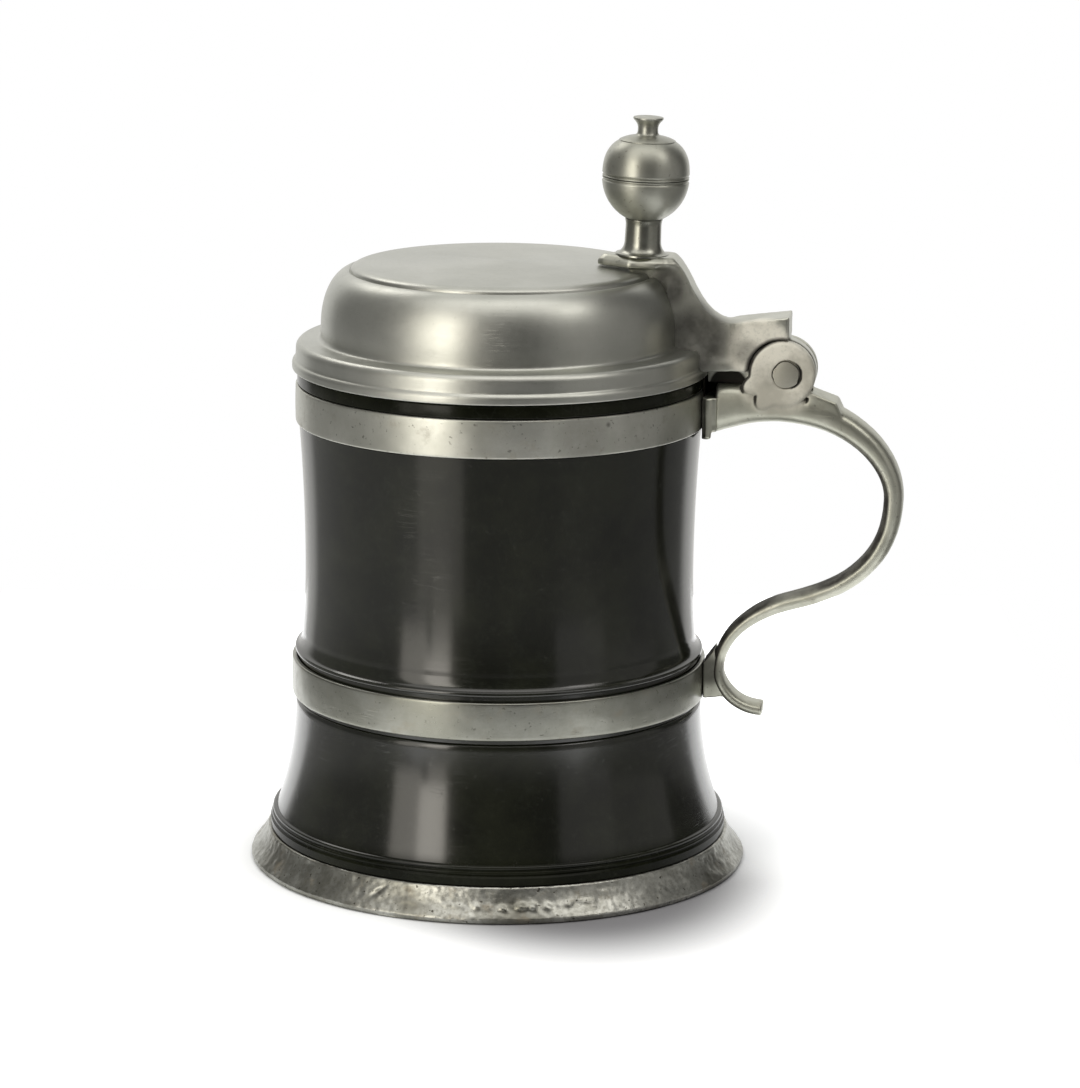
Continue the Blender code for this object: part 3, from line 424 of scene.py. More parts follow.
def lid_outside():
    """Return the lid's outer side from the crown to its lower edge."""
    radii = [CROWN_RADIUS * i / 20 for i in range(20)]
    return [
        *[(radius, crown_level(radius)) for radius in radii],
        *arc(CROWN_RADIUS, DISC_Z, DISC_STEP_RUN, DISC_STEP_RISE, 90.0, 8.0, 12),
        (DISC_RADIUS + 0.15, DISC_Z - 0.6, 0.2),
        *arc(DISC_RADIUS, SHOULDER_Z, SHOULDER_RUN, SHOULDER_RISE, 84.0, 0.0, 40),
        (DOME_RADIUS, FLANGE_TOP_Z + 0.2, 1.3), (FLANGE_CORNER[0], FLANGE_TOP_Z - 0.1, 0.6),
        *arc(*FLANGE_CORNER, FLANGE_ROUNDING, FLANGE_ROUNDING, 75.0, 5.0, 8),
        (FLANGE_RADIUS + 0.1, FLANGE_Z + 0.5, 0.4),
        *at(LID_RADIUS, FLANGE_Z, (-0.3, 0.0, 0.3), (0.0, -0.6, 0.4)),
        *at(LID_RADIUS, LID_Z, (0.0, 0.2, 0.3), (-0.3, 0.0)),
    ]


def lid_inside():
    """Return the hollow underside of the lid, from its lower edge to the axis."""
    rim_inner = LID_RADIUS - LID_RIM_WALL
    dome_inner = DOME_RADIUS - LID_WALL
    flange_z = FLANGE_TOP_Z - LID_WALL
    roof_z = DISC_Z - LID_WALL
    return [
        (LID_RADIUS - 0.3, LID_Z), (rim_inner, LID_Z, 0.3),
        (rim_inner, flange_z, 1.0), (dome_inner, flange_z, 1.0),
        *arc(DISC_RADIUS, SHOULDER_Z, dome_inner - DISC_RADIUS, roof_z - SHOULDER_Z, 0.0, 90.0, 20),
        (0.0, crown_level(0.0) - LID_WALL),
    ]


def lid_shell(grow):
    """Return the lid's outer side, grown outwards and closed on the axis."""
    edge = LID_RADIUS + grow
    rounding = FLANGE_ROUNDING + grow
    return [
        (0.0, crown_level(0.0) + grow), (CROWN_RADIUS, DISC_Z + DISC_STEP_RISE + grow),
        *arc(DISC_RADIUS, SHOULDER_Z, SHOULDER_RUN + grow, SHOULDER_RISE + grow, 80.0, 0.0, 16),
        (DOME_RADIUS + grow, FLANGE_TOP_Z + grow),
        *arc(*FLANGE_CORNER, rounding, rounding, 90.0, 0.0, 6),
        (edge, FLANGE_Z), (edge, LID_Z - 1.0), (0.0, LID_Z - 1.0),
    ]


def dome(low_radius, high_radius, centre_z, count):
    """Return points down the ball's full-shouldered top, between two radii."""
    half_power = 0.5 * BALL_UPPER_POWER
    start = math.acos((low_radius / BALL_RADIUS) ** half_power)
    end = math.acos((high_radius / BALL_RADIUS) ** half_power)
    points = []
    for i in range(count + 1):
        angle = start + (end - start) * i / count
        radius = BALL_RADIUS * math.cos(angle) ** (1.0 / half_power)
        points.append((radius, centre_z + BALL_UPPER_RISE * math.sin(angle) ** (1.0 / half_power)))
    return points


def stem_profile():
    """Return the flared stem, with a fine collar under the ball."""
    foot = STEM_BASE_RADIUS + 0.2
    run = STEM_BASE_RADIUS - STEM_RADIUS + 0.3
    return softened([
        *at(0.0, STEM_HEIGHT, (0.0, 1.0), (SPIGOT_RADIUS, 1.0), (SPIGOT_RADIUS, 0.2)),
        *at(STEM_RADIUS, STEM_HEIGHT, (0.1, 0.2, 0.25), (-0.2, -1.1, 0.6)),
        *arc(foot, STEM_FLARE, run, STEM_FLARE + 0.2, 180.0, 268.0, 14),
        (foot, -0.6), (0.0, -0.6),
    ], THUMB_STEP)


def lower_ball_profile():
    """Return the lower half ball with its half of the seam."""
    low = math.degrees(math.acos((STEM_RADIUS - 0.2) / BALL_RADIUS))
    seam = math.degrees(math.asin(BALL_SEAM / BALL_LOWER_DEPTH))
    return softened([
        (BALL_HOLLOW, BALL_Z - 0.1),
        *at(BALL_RADIUS, BALL_Z, (-0.1, -0.1, 0.25), (-0.05, -0.35, 0.2), (-BALL_GROOVE, -0.62, 0.15)),
        *arc(0.0, BALL_Z, BALL_RADIUS, BALL_LOWER_DEPTH, -seam, -low, 30),
        (SPIGOT_RADIUS + GAP, STEM_HEIGHT + GAP), (BALL_HOLLOW, BALL_Z - 0.1),
    ], THUMB_STEP)


def upper_ball_profile():
    """Return the upper half ball with its half of the seam."""
    share = (BALL_SEAM / BALL_UPPER_RISE) ** BALL_UPPER_POWER
    seam_radius = BALL_RADIUS * (1.0 - share) ** (1.0 / BALL_UPPER_POWER)
    return softened([
        (BALL_HOLLOW, BALL_Z + 4.0), (COLLAR_RADIUS - 1.2, BALL_Z + BALL_UPPER_RISE - 2.4),
        *dome(COLLAR_RADIUS - 0.8, seam_radius, BALL_Z, 30),
        *at(BALL_RADIUS, BALL_Z, (-BALL_GROOVE, 0.62, 0.15), (-0.05, 0.35, 0.2), (-0.1, 0.1, 0.25)),
        (BALL_HOLLOW, BALL_Z + 0.1), (BALL_HOLLOW, BALL_Z + 4.0),
    ], THUMB_STEP)


def finial_profile():
    """Return the finial: button, waisted neck and thin collar on the ball."""
    collar = dome(NECK_RADIUS + 1.1, COLLAR_RADIUS, BALL_Z + 0.2, 10)
    edge_z = collar[-1][1]
    neck_z = BALL_Z + GAP + BALL_UPPER_RISE + COLLAR_THICKNESS
    button_z = neck_z + NECK_HEIGHT + BUTTON_FLARE
    top_z = button_z + BUTTON_THICKNESS
    return softened([
        (0.0, top_z), *at(BUTTON_RADIUS, top_z, (-1.0, 0.0, 0.5), (0.0, -0.15, 0.3)),
        (BUTTON_RADIUS, button_z, 0.3), (NECK_RADIUS - 0.1, neck_z + NECK_HEIGHT, 1.2),
        (NECK_RADIUS, neck_z - 0.3, 1.0), *collar,
        *at(COLLAR_RADIUS, edge_z, (0.0, -0.25), (-1.0, -2.0)), (0.0, edge_z - 2.0),
    ], FINIAL_STEP)


def heading_vector(degrees):
    """Return a unit vector in the handle's plane."""
    return Vector((math.cos(math.radians(degrees)), math.sin(math.radians(degrees))))


def bezier(start, leave, arrive, end, share):
    """Return a point and its direction on a cubic curve in the handle's plane."""
    rest = 1.0 - share
    point = rest ** 3 * start + 3.0 * rest ** 2 * share * leave
    point += 3.0 * rest * share ** 2 * arrive + share ** 3 * end
    slope = rest ** 2 * (leave - start) + 2.0 * rest * share * (arrive - leave) + share ** 2 * (end - arrive)
    return point, slope.normalized()


def strap_ring(centre, heading, thickness, width):
    """Return one rounded section of the strap, square to its heading."""
    across = Vector((-heading.y, heading.x))
    ring = []
    for i in range(STRAP_SIDES):
        angle = math.tau * i / STRAP_SIDES
        up = math.copysign(abs(math.cos(angle)) ** STRAP_ROUNDNESS, math.cos(angle))
        side = math.copysign(abs(math.sin(angle)) ** STRAP_ROUNDNESS, math.sin(angle))
        point = centre + across * (0.5 * thickness * up)
        ring.append((point.x, 0.5 * width * side, point.y))
    return ring


def strap_rings():
    """Return the strap's sections from the bracket to the spur's end."""
    rings = []
    for first, second in zip(HANDLE_KNOTS, HANDLE_KNOTS[1:]):
        start = Vector(first[:2])
        end = Vector(second[:2])
        leave = start + heading_vector(first[2]) * first[4]
        arrive = end - heading_vector(second[2]) * second[3]
        for i in range(STRAP_STEPS + (second is HANDLE_KNOTS[-1])):
            share = i / STRAP_STEPS
            point, slope = bezier(start, leave, arrive, end, share)
            if first is HANDLE_KNOTS[0]:
                slope = Vector((1.0, 0.0))
            blend = share * share * (3.0 - 2.0 * share)
            section = [old + (new - old) * blend for old, new in zip(first[5:], second[5:])]
            rings.append(strap_ring(point, slope, *section))
    return rings


def turned_back(x, z):
    """Return a point of the closed lid as it lies with the lid fully open."""
    turn = Matrix.Rotation(math.radians(-LID_OPEN_ANGLE), 2)
    point = turn @ Vector((x - HINGE_X, z - HINGE_Z))
    return (HINGE_X + point.x, HINGE_Z + point.y)


def stop_outline():
    """Return the side view of the pad that the lid arm's heel comes down on."""
    face_x = HEEL_X + GAP
    near_z = HINGE_Z + KNUCKLE_RADIUS
    far_z = near_z + STOP_LENGTH
    deep_x = face_x + STOP_DEPTH
    side = [(face_x, near_z), (face_x, far_z - STOP_CORNER), (face_x + STOP_CORNER, far_z)]
    return [turned_back(x, z) for x, z in [*side, (deep_x, far_z), (deep_x, near_z)]]


def leaf_outline(inset):
    """Return a hinge leaf's outline, with two lobes towards the vessel."""
    points = []
    for i in range(144):
        degrees = 2.5 * i
        lobe = (degrees - LOBE_START) / LOBE_SPREAD
        radius = KNUCKLE_RADIUS - inset
        if 0.0 < lobe < 2.0:
            radius += LOBE_SWELL * abs(math.sin(math.pi * lobe))
        points.append(tuple(Vector((HINGE_X, HINGE_Z)) + heading_vector(degrees) * radius))
    return points


def plate_level():
    """Return the height of the lid arm's plate, whose tip just clears the lid's disc."""
    return crown_level(THUMB_X - PLATE_TIP) + GAP


def block_outline(ahead=0.0):
    """Return the side view of the block and heel that reach over the hinge."""
    rise = HEEL_RISE * ahead / (HEEL_X - VALLEY_X)
    return [
        (VALLEY_X + ahead, BLOCK_Z + rise), (HEEL_X, BLOCK_Z + HEEL_RISE),
        (HEEL_X, HINGE_Z + 0.5 * KNUCKLE_RADIUS), (HINGE_X, HINGE_Z),
        (HINGE_X - KNUCKLE_RADIUS, BLOCK_LOW_Z), (VALLEY_X + ahead, BLOCK_LOW_Z),
    ]


def slope_curve():
    """Return the hollow slope of the lid arm, from the plate's end down to the block."""
    crest = Vector((THUMB_X + SLOPE_CREST, plate_level() + PLATE_THICKNESS))
    valley = Vector(block_outline()[0])
    ends = (crest, crest + SLOPE_LEAVE, valley + SLOPE_ARRIVE, valley)
    return [bezier(*ends, i / 24)[0] for i in range(24)]


def arm_outline():
    """Return the side view of the lid arm's web, with the block."""
    start = at(THUMB_X - WEB_START, plate_level(), (0.0, 0.0), (0.0, PLATE_THICKNESS - PLATE_CHAMFER))
    slope = [tuple(point) for point in slope_curve()]
    return start + slope + block_outline()[:-1] + [(DOME_RADIUS, BLOCK_LOW_Z), (DISC_RADIUS, SHOULDER_Z)]


def plate_plan():
    """Return the plan of the pointed plate under the thumbpiece."""
    half = 0.5 * PLATE_WIDTH
    tip_x = THUMB_X - PLATE_TIP
    near_side = [
        (tip_x, -0.5 * PLATE_NOSE_WIDTH), (tip_x + PLATE_NOSE_LENGTH, -0.5 * PLATE_TIP_WIDTH),
        (THUMB_X - PLATE_SHOULDER, -half), (THUMB_X + half, -half),
        (THUMB_X + half + PLATE_END, -0.5 * WEB_WIDTH),
    ]
    return near_side + [(x, -y) for x, y in reversed(near_side)]


# Meshes

@contextmanager
def opened(mesh):
    """Open a mesh for editing, and write it back afterwards."""
    bm = bmesh.new()
    bm.from_mesh(mesh)
    yield bm
    bm.to_mesh(mesh)
    bm.free()


def linked(name, data):
    """Return a new object in the scene."""
    thing = bpy.data.objects.new(name, data)
    bpy.context.scene.collection.objects.link(thing)
    return thing


def finish_mesh(name, mesh):
    """Shade a mesh smoothly, keep its hard edges, and link it as an object."""
    mesh.shade_smooth()
    mesh.set_sharp_from_angle(angle=math.radians(SHARP_ANGLE))
    return linked(name, mesh)


def lathe(name, profile, steps, bend=None):
    """Turn a profile, listed down its outer side, about Z."""
    points = []
    rings = []
    for radius, height in profile:
        first = len(points)
        count = 1 if radius < POLE else steps
        rings.append([first + i % count for i in range(steps)])
        for i in range(count):
            angle = math.tau * i / steps
            place = Vector((radius * math.cos(angle), radius * math.sin(angle), height))
            points.append((bend(place) if bend else place) * MM)
    faces = []
    for upper, lower in zip(rings, rings[1:]):
        for i in range(steps):
            j = (i + 1) % steps
            corners = [upper[i], lower[i], lower[j], upper[j]]
            faces.append(list(dict.fromkeys(corners)))
    mesh = bpy.data.meshes.new(name)
    mesh.from_pydata(points, [], faces)
    with opened(mesh) as bm:
        bmesh.ops.remove_doubles(bm, verts=bm.verts, dist=0.00001 * MM)
    return finish_mesh(name, mesh)


def loft(name, rings):
    """Skin a row of rings, and close both ends."""
    count = len(rings[0])
    points = [Vector(point) * MM for ring in rings for point in ring]
    faces = [list(range(count))]
    for k in range(len(rings) - 1):
        for i in range(count):
            j = (i + 1) % count
            faces.append([k * count + i, (k + 1) * count + i, (k + 1) * count + j, k * count + j])
    faces.append(list(range((len(rings) - 1) * count, len(rings) * count)))
    mesh = bpy.data.meshes.new(name)
    mesh.from_pydata(points, [], faces)
    with opened(mesh) as bm:
        bmesh.ops.recalc_face_normals(bm, faces=bm.faces)
    return finish_mesh(name, mesh)


def grown(name, corners, vector):
    """Extrude one face of corner points through a vector."""
    mesh = bpy.data.meshes.new(name)
    with opened(mesh) as bm:
        face = bm.faces.new([bm.verts.new(Vector(corner) * MM) for corner in corners])
        result = bmesh.ops.extrude_face_region(bm, geom=[face])
        moved = [item for item in result["geom"] if isinstance(item, bmesh.types.BMVert)]
        bmesh.ops.translate(bm, verts=moved, vec=Vector(vector) * MM)
        bmesh.ops.recalc_face_normals(bm, faces=bm.faces)
    return finish_mesh(name, mesh)


def pillar(name, plan, low_z, height):
    """Extrude a plan of (x, y) points upwards."""
    return grown(name, [(x, y, low_z) for x, y in plan], (0.0, 0.0, height))


def slab(name, outline, low_y, high_y):
    """Extrude an outline along Y."""
    return grown(name, [(x, low_y, z) for x, z in outline], (0.0, high_y - low_y, 0.0))


def even_slab(name, outline, width):
    """Extrude an outline to both sides of the handle's plane."""
    return slab(name, outline, -0.5 * width, 0.5 * width)


def rod(name, radius, low_y, high_y, centre_x=HINGE_X):
    """Make a cylinder along Y at the hinge's height."""
    outline = arc(centre_x, HINGE_Z, radius, radius, 0.0, 360.0, SMALL_STEPS)[:-1]
    return slab(name, outline, low_y, high_y)


def work_in(thing, tools, operation):
    """Join or cut an object with others, as a stack of Boolean steps."""
    for tool in tools:
        modifier = thing.modifiers.new(tool.name, "BOOLEAN")
        modifier.operation = operation
        modifier.object = tool
        modifier.solver = "EXACT"


def settled(thing, name, tools=()):
    """Turn an object's modifiers into a plain mesh, and drop the tools that they used."""
    graph = bpy.context.evaluated_depsgraph_get()
    mesh = bpy.data.meshes.new_from_object(thing.evaluated_get(graph))
    for old in [thing, *tools]:
        bpy.data.objects.remove(old, do_unlink=True)
    mesh.materials.clear()
    return finish_mesh(name, mesh)


def joined(name, things):
    """Put several objects into one mesh, to be melted together."""
    mesh = bpy.data.meshes.new(name)
    with opened(mesh) as bm:
        for thing in things:
            bm.from_mesh(thing.data)
            bpy.data.objects.remove(thing, do_unlink=True)
    return finish_mesh(name, mesh)


def melt(thing, size, passes):
    """Melt an object's joined shapes into one softly rounded casting."""
    remesh = thing.modifiers.new("melt", "REMESH")
    remesh.mode = "VOXEL"
    remesh.voxel_size = size * MM
    smooth = thing.modifiers.new("soften", "SMOOTH")
    smooth.factor = 0.5
    smooth.iterations = passes


def hammer(thing, depth, scale, seed):
    """Move a casting's surface in and out a little, as hand work leaves it."""
    offset = Vector((seed, 2.0 * seed, 3.0 * seed))
    moves = []
    for vert in thing.data.vertices:
        moves.append(vert.normal * (noise.noise(vert.co * scale / MM + offset) * depth * MM))
    for vert, move in zip(thing.data.vertices, moves):
        vert.co += move
    return thing


def cast(thing, name, steps):
    """Work tools into an object, melt it into one casting, and hammer it."""
    melting, hammering = CASTINGS[name]
    for operation, tools in steps:
        work_in(thing, tools, operation)
    melt(thing, *melting)
    used = [tool for _, tools in steps for tool in tools]
    return hammer(settled(thing, name, used), *hammering)


# Pieces

def side_angle(place):
    """Return how many degrees a place lies to the right of the camera's side."""
    angle = math.degrees(math.atan2(place.y, place.x)) - CAMERA_SIDE
    return (angle + 180.0) % 360.0 - 180.0


def bump(value, centre, width):
    """Return a smooth hill of height one."""
    return math.exp(-((value - centre) / width) ** 2)


def outwards(place, amount):
    """Move a place away from the vessel's axis."""
    radius = math.hypot(place.x, place.y)
    share = 1.0 + amount / radius
    return Vector((place.x * share, place.y * share, place.z))


def foot_wear(place):
    """Batter the foot ring's outer face."""
    if math.hypot(place.x, place.y) < FOOT_TOP_RADIUS - 0.2 or place.z < 0.2:
        return place
    bearing = side_angle(place)
    swing = 0.5 * noise.noise(Vector((place.x * 0.2, place.y * 0.2, 3.0)))
    ridge = bump(place.z, KNOCKS_Z + swing, 0.75)
    knocked = bump(bearing, KNOCKS_BEARING, KNOCKS_SPREAD) + 0.12
    knocks = max(0.0, noise.noise(Vector((place.x * 0.42, place.y * 0.42, 7.0))) + 0.28)
    slant = NICK_BEARING + 1.1 * (place.z - NICK_Z)
    amount = sum(depth * noise.noise(place * scale) for depth, scale in FOOT_WAVES)
    amount += KNOCKS_HEIGHT * ridge * knocked * knocks
    amount -= NICK_DEPTH * bump(bearing, slant, 0.55) * bump(place.z, NICK_Z, 1.0)
    amount -= DENT_DEPTH * bump(bearing, DENT_BEARING, 4.0) * bump(place.z, DENT_Z, 1.6)
    return outwards(place, amount)


def band_wear(place):
    """Let a band run very slightly out of true."""
    return outwards(place, 0.06 * noise.noise(place * 0.07) + 0.03 * noise.noise(place * 0.3))


def lid_wear(place):
    """Let the lid's thin metal run very slightly out of true."""
    return outwards(place, 0.05 * noise.noise(place * 0.06)) if place.x or place.y else place


def make_vessel_pieces():
    """Make the stone vessel, its foot ring and its two bands."""
    lower = band_profile(LOWER_BAND_LOW, LOWER_BAND_HIGH, LOWER_BAND_RADIUS)
    upper = band_profile(UPPER_BAND_LOW, UPPER_BAND_HIGH, UPPER_BAND_RADIUS)
    return {
        "stone_body": lathe("stone_body_fine", stone_profile(), BIG_STEPS),
        "foot_ring": lathe("foot_ring_fine", foot_profile(), FOOT_STEPS, foot_wear),
        "lower_band": lathe("lower_band_fine", lower, BIG_STEPS, band_wear),
        "upper_band": lathe("upper_band_fine", upper, BIG_STEPS, band_wear),
    }


def seat_tool(radius, top, bottom):
    """Make the round tool that hollows a piece to the band or rim that it sits against."""
    return lathe("seat", [(0.0, top), (radius, top), (radius, bottom), (0.0, bottom)], BIG_STEPS)


def make_bracket():
    """Make the stepped plate on the upper band, with a ridge down each side."""
    half = 0.5 * BRACKET_WIDTH
    back = UPPER_BAND_RADIUS - half
    bottom = BRACKET_TOP - BRACKET_HEIGHT
    step_z = bottom + BRACKET_STEP
    flange = UPPER_BAND_RADIUS + GAP + BRACKET_FLANGE
    outline = [(back, BRACKET_TOP), (BRACKET_X, BRACKET_TOP), (BRACKET_X, step_z)]
    outline += [(flange, step_z), (flange, bottom), (back, bottom)]
    plate = even_slab("bracket", outline, BRACKET_WIDTH)
    seat = seat_tool(UPPER_BAND_RADIUS + SEAT_PLAY, BRACKET_TOP + 1.0, bottom - 1.0)
    ridges = []
    for side in (-1.0, 1.0):
        centre = (flange - RIDGE_SINK, side * (half - RIDGE_INSET))
        around = arc(*centre, RIDGE_RADIUS, RIDGE_RADIUS, 0.0, 330.0, 11)
        ridges.append(pillar("ridge", around, bottom + RIDGE_INSET, BRACKET_HEIGHT - 2.0 * RIDGE_INSET))
    return cast(plate, "upper_bracket_fine", [("DIFFERENCE", [seat]), ("UNION", ridges)])


def make_packing():
    """Make the near-black packing behind the rim, on top of the bracket: dirt and old solder, dark also as
    painted shade in the gap.
    """
    packing = pillar("packing", PACKING, PACKING_BOTTOM, PACKING_TOP - PACKING_BOTTOM)
    seat = seat_tool(RIM_RADIUS + 0.12, PACKING_TOP + 1.0, PACKING_BOTTOM - 1.0)
    return cast(packing, "bracket_packing", [("DIFFERENCE", [seat])])


def make_lug():
    """Make the block on the lower band, with the solder that joins it to the strap."""
    back = LOWER_BAND_RADIUS - 0.5 * LUG_WIDTH
    top = LOWER_BAND_HIGH + LUG_RISE
    bottom = top - LUG_HEIGHT
    outline = [(back, top - LUG_SLANT), *at(LUG_X, top, (-LUG_REACH, -LUG_SLANT), (1.0, 1.6), (1.9, -5.0))]
    outline += at(LUG_X, bottom, (3.0, 4.0), (5.6, 0.8), (2.6, 0.9), (-0.2, 0.6)) + [(back, bottom - 0.4)]
    block = even_slab("lug", outline, LUG_WIDTH)
    seat = seat_tool(LOWER_BAND_RADIUS + SEAT_PLAY, top + 3.0, bottom - 2.0)
    return cast(block, "lower_lug_fine", [("DIFFERENCE", [seat])])


def hinge_leaf(name, side):
    """Make a hinge leaf with a soft outer edge."""
    layers = [(LEAF_INNER, 0.0), *at(HINGE_HALF_WIDTH, 0.0, (-0.9, 0.0), (-0.3, 0.3), (0.0, 0.9))]
    return loft(name, [[(x, side * y, z) for x, z in leaf_outline(inset)] for y, inset in layers])


def make_handle():
    """Make the cast strap with its hinge leaves and stop pad."""
    strap = loft("strap", strap_rings())
    adds = [
        hinge_leaf("leaf_front", -1.0),
        hinge_leaf("leaf_rear", 1.0),
        even_slab("stop_pad", stop_outline(), STOP_WIDTH),
    ]
    sink_y = -HINGE_HALF_WIDTH + PIN_HEAD_DEPTH + GAP
    cuts = [
        rod("slot", KNUCKLE_RADIUS + GAP, -LEAF_INNER, LEAF_INNER),
        rod("bore", PIN_RADIUS + PIN_PLAY, -HINGE_CLEAR, HINGE_CLEAR),
        rod("sink", PIN_HEAD_RADIUS + PIN_PLAY, -HINGE_CLEAR, sink_y, HINGE_X + PIN_HEAD_SHIFT),
    ]
    return cast(strap, "handle_fine", [("UNION", adds), ("DIFFERENCE", cuts)])


def make_pin():
    """Make the pin with its lopsided hammered head, flat on one side."""
    outline = []
    for i in range(48):
        degrees = 7.5 * i
        swell = PIN_HEAD_SWELL * math.cos(math.radians(3.0 * degrees + 40.0))
        radius = PIN_HEAD_RADIUS * (PIN_HEAD_MEAN + swell)
        flat = PIN_HEAD_FLAT * PIN_HEAD_RADIUS / max(0.05, math.cos(math.radians(degrees + 8.0)))
        point = heading_vector(degrees) * min(radius, flat)
        outline.append((HINGE_X + PIN_HEAD_SHIFT - 0.14 + point.x, HINGE_Z - 0.1 + point.y))
    front = -HINGE_HALF_WIDTH
    pin = slab("pin_head", outline, front - 0.1, front + PIN_HEAD_DEPTH)
    shank = rod("shank", PIN_RADIUS, front + 0.4, HINGE_HALF_WIDTH)
    work_in(pin, [shank], "UNION")
    edges = pin.modifiers.new("edges", "BEVEL")
    edges.width = 0.3 * MM
    edges.segments = 3
    edges.limit_method = "ANGLE"
    return settled(pin, "hinge_pin_fine", [shank])


def solder_bed(width, thickness):
    """Make one film of solder between the arm and the lid."""
    side = [(SOLDER_START, SOLDER_TOP), (SOLDER_END, SOLDER_TOP)]
    side += [(SOLDER_END, FLANGE_Z), (SOLDER_START, FLANGE_Z)]
    bed = even_slab("bed", side, width)
    film = lathe("film", lid_shell(thickness), SMALL_STEPS)
    work_in(bed, [film], "INTERSECT")
    return settled(bed, "solder_bed", [film])


def gusset(side):
    """Make the fillet between the lid's flange and the block, on one side."""
    return pillar("gusset", [(x, -side * y) for x, y in GUSSET], BLOCK_LOW_Z, GUSSET_HEIGHT)


def arm_slab(outline, width):
    """Make a slab of the arm that leaves room for the two hinge leaves."""
    clears = [
        rod("clear_front", KNUCKLE_RADIUS + GAP, -HINGE_CLEAR, -KNUCKLE_HALF_WIDTH),
        rod("clear_rear", KNUCKLE_RADIUS + GAP, KNUCKLE_HALF_WIDTH, HINGE_CLEAR),
    ]
    piece = even_slab("piece", outline, width)
    work_in(piece, clears, "DIFFERENCE")
    return settled(piece, "arm_slab", clears)


def arm_plate():
    """Make the pointed plate under the thumbpiece, with chamfered upper edges."""
    plate = pillar("plate", plate_plan(), plate_level(), PLATE_THICKNESS)
    with opened(plate.data) as bm:
        top = max(vert.co.z for vert in bm.verts) - 0.01 * MM
        rim = [edge for edge in bm.edges if all(vert.co.z > top for vert in edge.verts)]
        bmesh.ops.bevel(bm, geom=rim, offset=PLATE_CHAMFER * MM, segments=1, affect="EDGES")
    return plate


def on_web_side(place, slope):
    """Tell whether a place, in millimetres, is on the arm's sides below its slope."""
    if not slope[0].x - 3.0 < place.x < VALLEY_X + 4.0 or abs(place.y) < WEB_CORE:
        return False
    top = min((abs(point.x - place.x), point.y) for point in slope)[1]
    return BLOCK_LOW_Z + 0.4 < place.z < top - 1.5


def rub_web(arm, passes):
    """Rub the sides of the arm's web smooth."""
    slope = slope_curve()
    ways = {"use_axis_x": True, "use_axis_y": True, "use_axis_z": True}
    with opened(arm.data) as bm:
        verts = [vert for vert in bm.verts if on_web_side(vert.co / MM, slope)]
        for _ in range(passes):
            bmesh.ops.smooth_vert(bm, verts=verts, factor=0.5, **ways)


def make_arm():
    """Make the lid arm: plate, web with its solder, block and heel over the hinge, knuckle."""
    things = [arm_plate(), arm_slab(arm_outline(), WEB_WIDTH), gusset(1.0), gusset(-1.0)]
    things += [arm_slab(block_outline(ahead), width) for ahead, width in BLOCK_EASING]
    things += [solder_bed(width, thickness) for width, thickness in SOLDER_FILMS]
    things += [
        rod("knuckle", KNUCKLE_RADIUS, -KNUCKLE_HALF_WIDTH, KNUCKLE_HALF_WIDTH),
        even_slab("tongue", TONGUE, TONGUE_WIDTH),
    ]
    melting, hammering = CASTINGS["lid_arm_fine"]
    arm = joined("arm", things)
    melt(arm, *melting)
    arm = settled(arm, "arm_casting")
    rub_web(arm, WEB_RUBBING)
    cuts = [
        lathe("lid_seat", lid_shell(-SOLDER_DEPTH), SMALL_STEPS),
        rod("arm_bore", PIN_RADIUS + PIN_PLAY, -HINGE_CLEAR, HINGE_CLEAR),
    ]
    work_in(arm, cuts, "DIFFERENCE")
    return hammer(settled(arm, "lid_arm_fine", cuts), *hammering)


def make_thumbpiece():
    """Make the stem, the two half balls and the finial on one leaning axis."""
    profiles = {
        "thumb_stem": stem_profile(),
        "thumb_ball_lower": lower_ball_profile(),
        "thumb_ball_upper": upper_ball_profile(),
        "thumb_finial": finial_profile(),
    }
    base_z = plate_level() + PLATE_THICKNESS + GAP + STEM_BASE_RADIUS * math.sin(THUMB_LEAN)
    pieces = {}
    for node, profile in profiles.items():
        piece = lathe(node + "_fine", profile, SMALL_STEPS)
        piece.location = Vector((THUMB_X, 0.0, base_z)) * MM
        piece.rotation_euler = (0.0, THUMB_LEAN, 0.0)
        pieces[node] = piece
    return pieces


# Materials

STAIN_COLOUR = (0.22, 0.19, 0.14)
PIT_COLOUR = (0.05, 0.045, 0.035)
CRUST_COLOURS = ((0.48, 0.465, 0.40), (0.80, 0.78, 0.69))
GRIME_AND_SHADE_COLOUR = (0.022, 0.020, 0.016)
STONE_COLOURS = ((0.0042, 0.0048, 0.0022), (0.0105, 0.0118, 0.006))
FLECK_COLOUR = (0.04, 0.043, 0.033)
VEIN_COLOUR = (0.028, 0.032, 0.024)
STONE_GLOSS = 0.57
FOOT_GLOSS = 0.06
RIM_GLOSS = 0.10
# Direction of the vessel: the strap's faces that look this way get painted shade, dark as the vessel that
# they reflect
FACING_SHADE_DIRECTION = (-1.0, 0.0, 0.15)
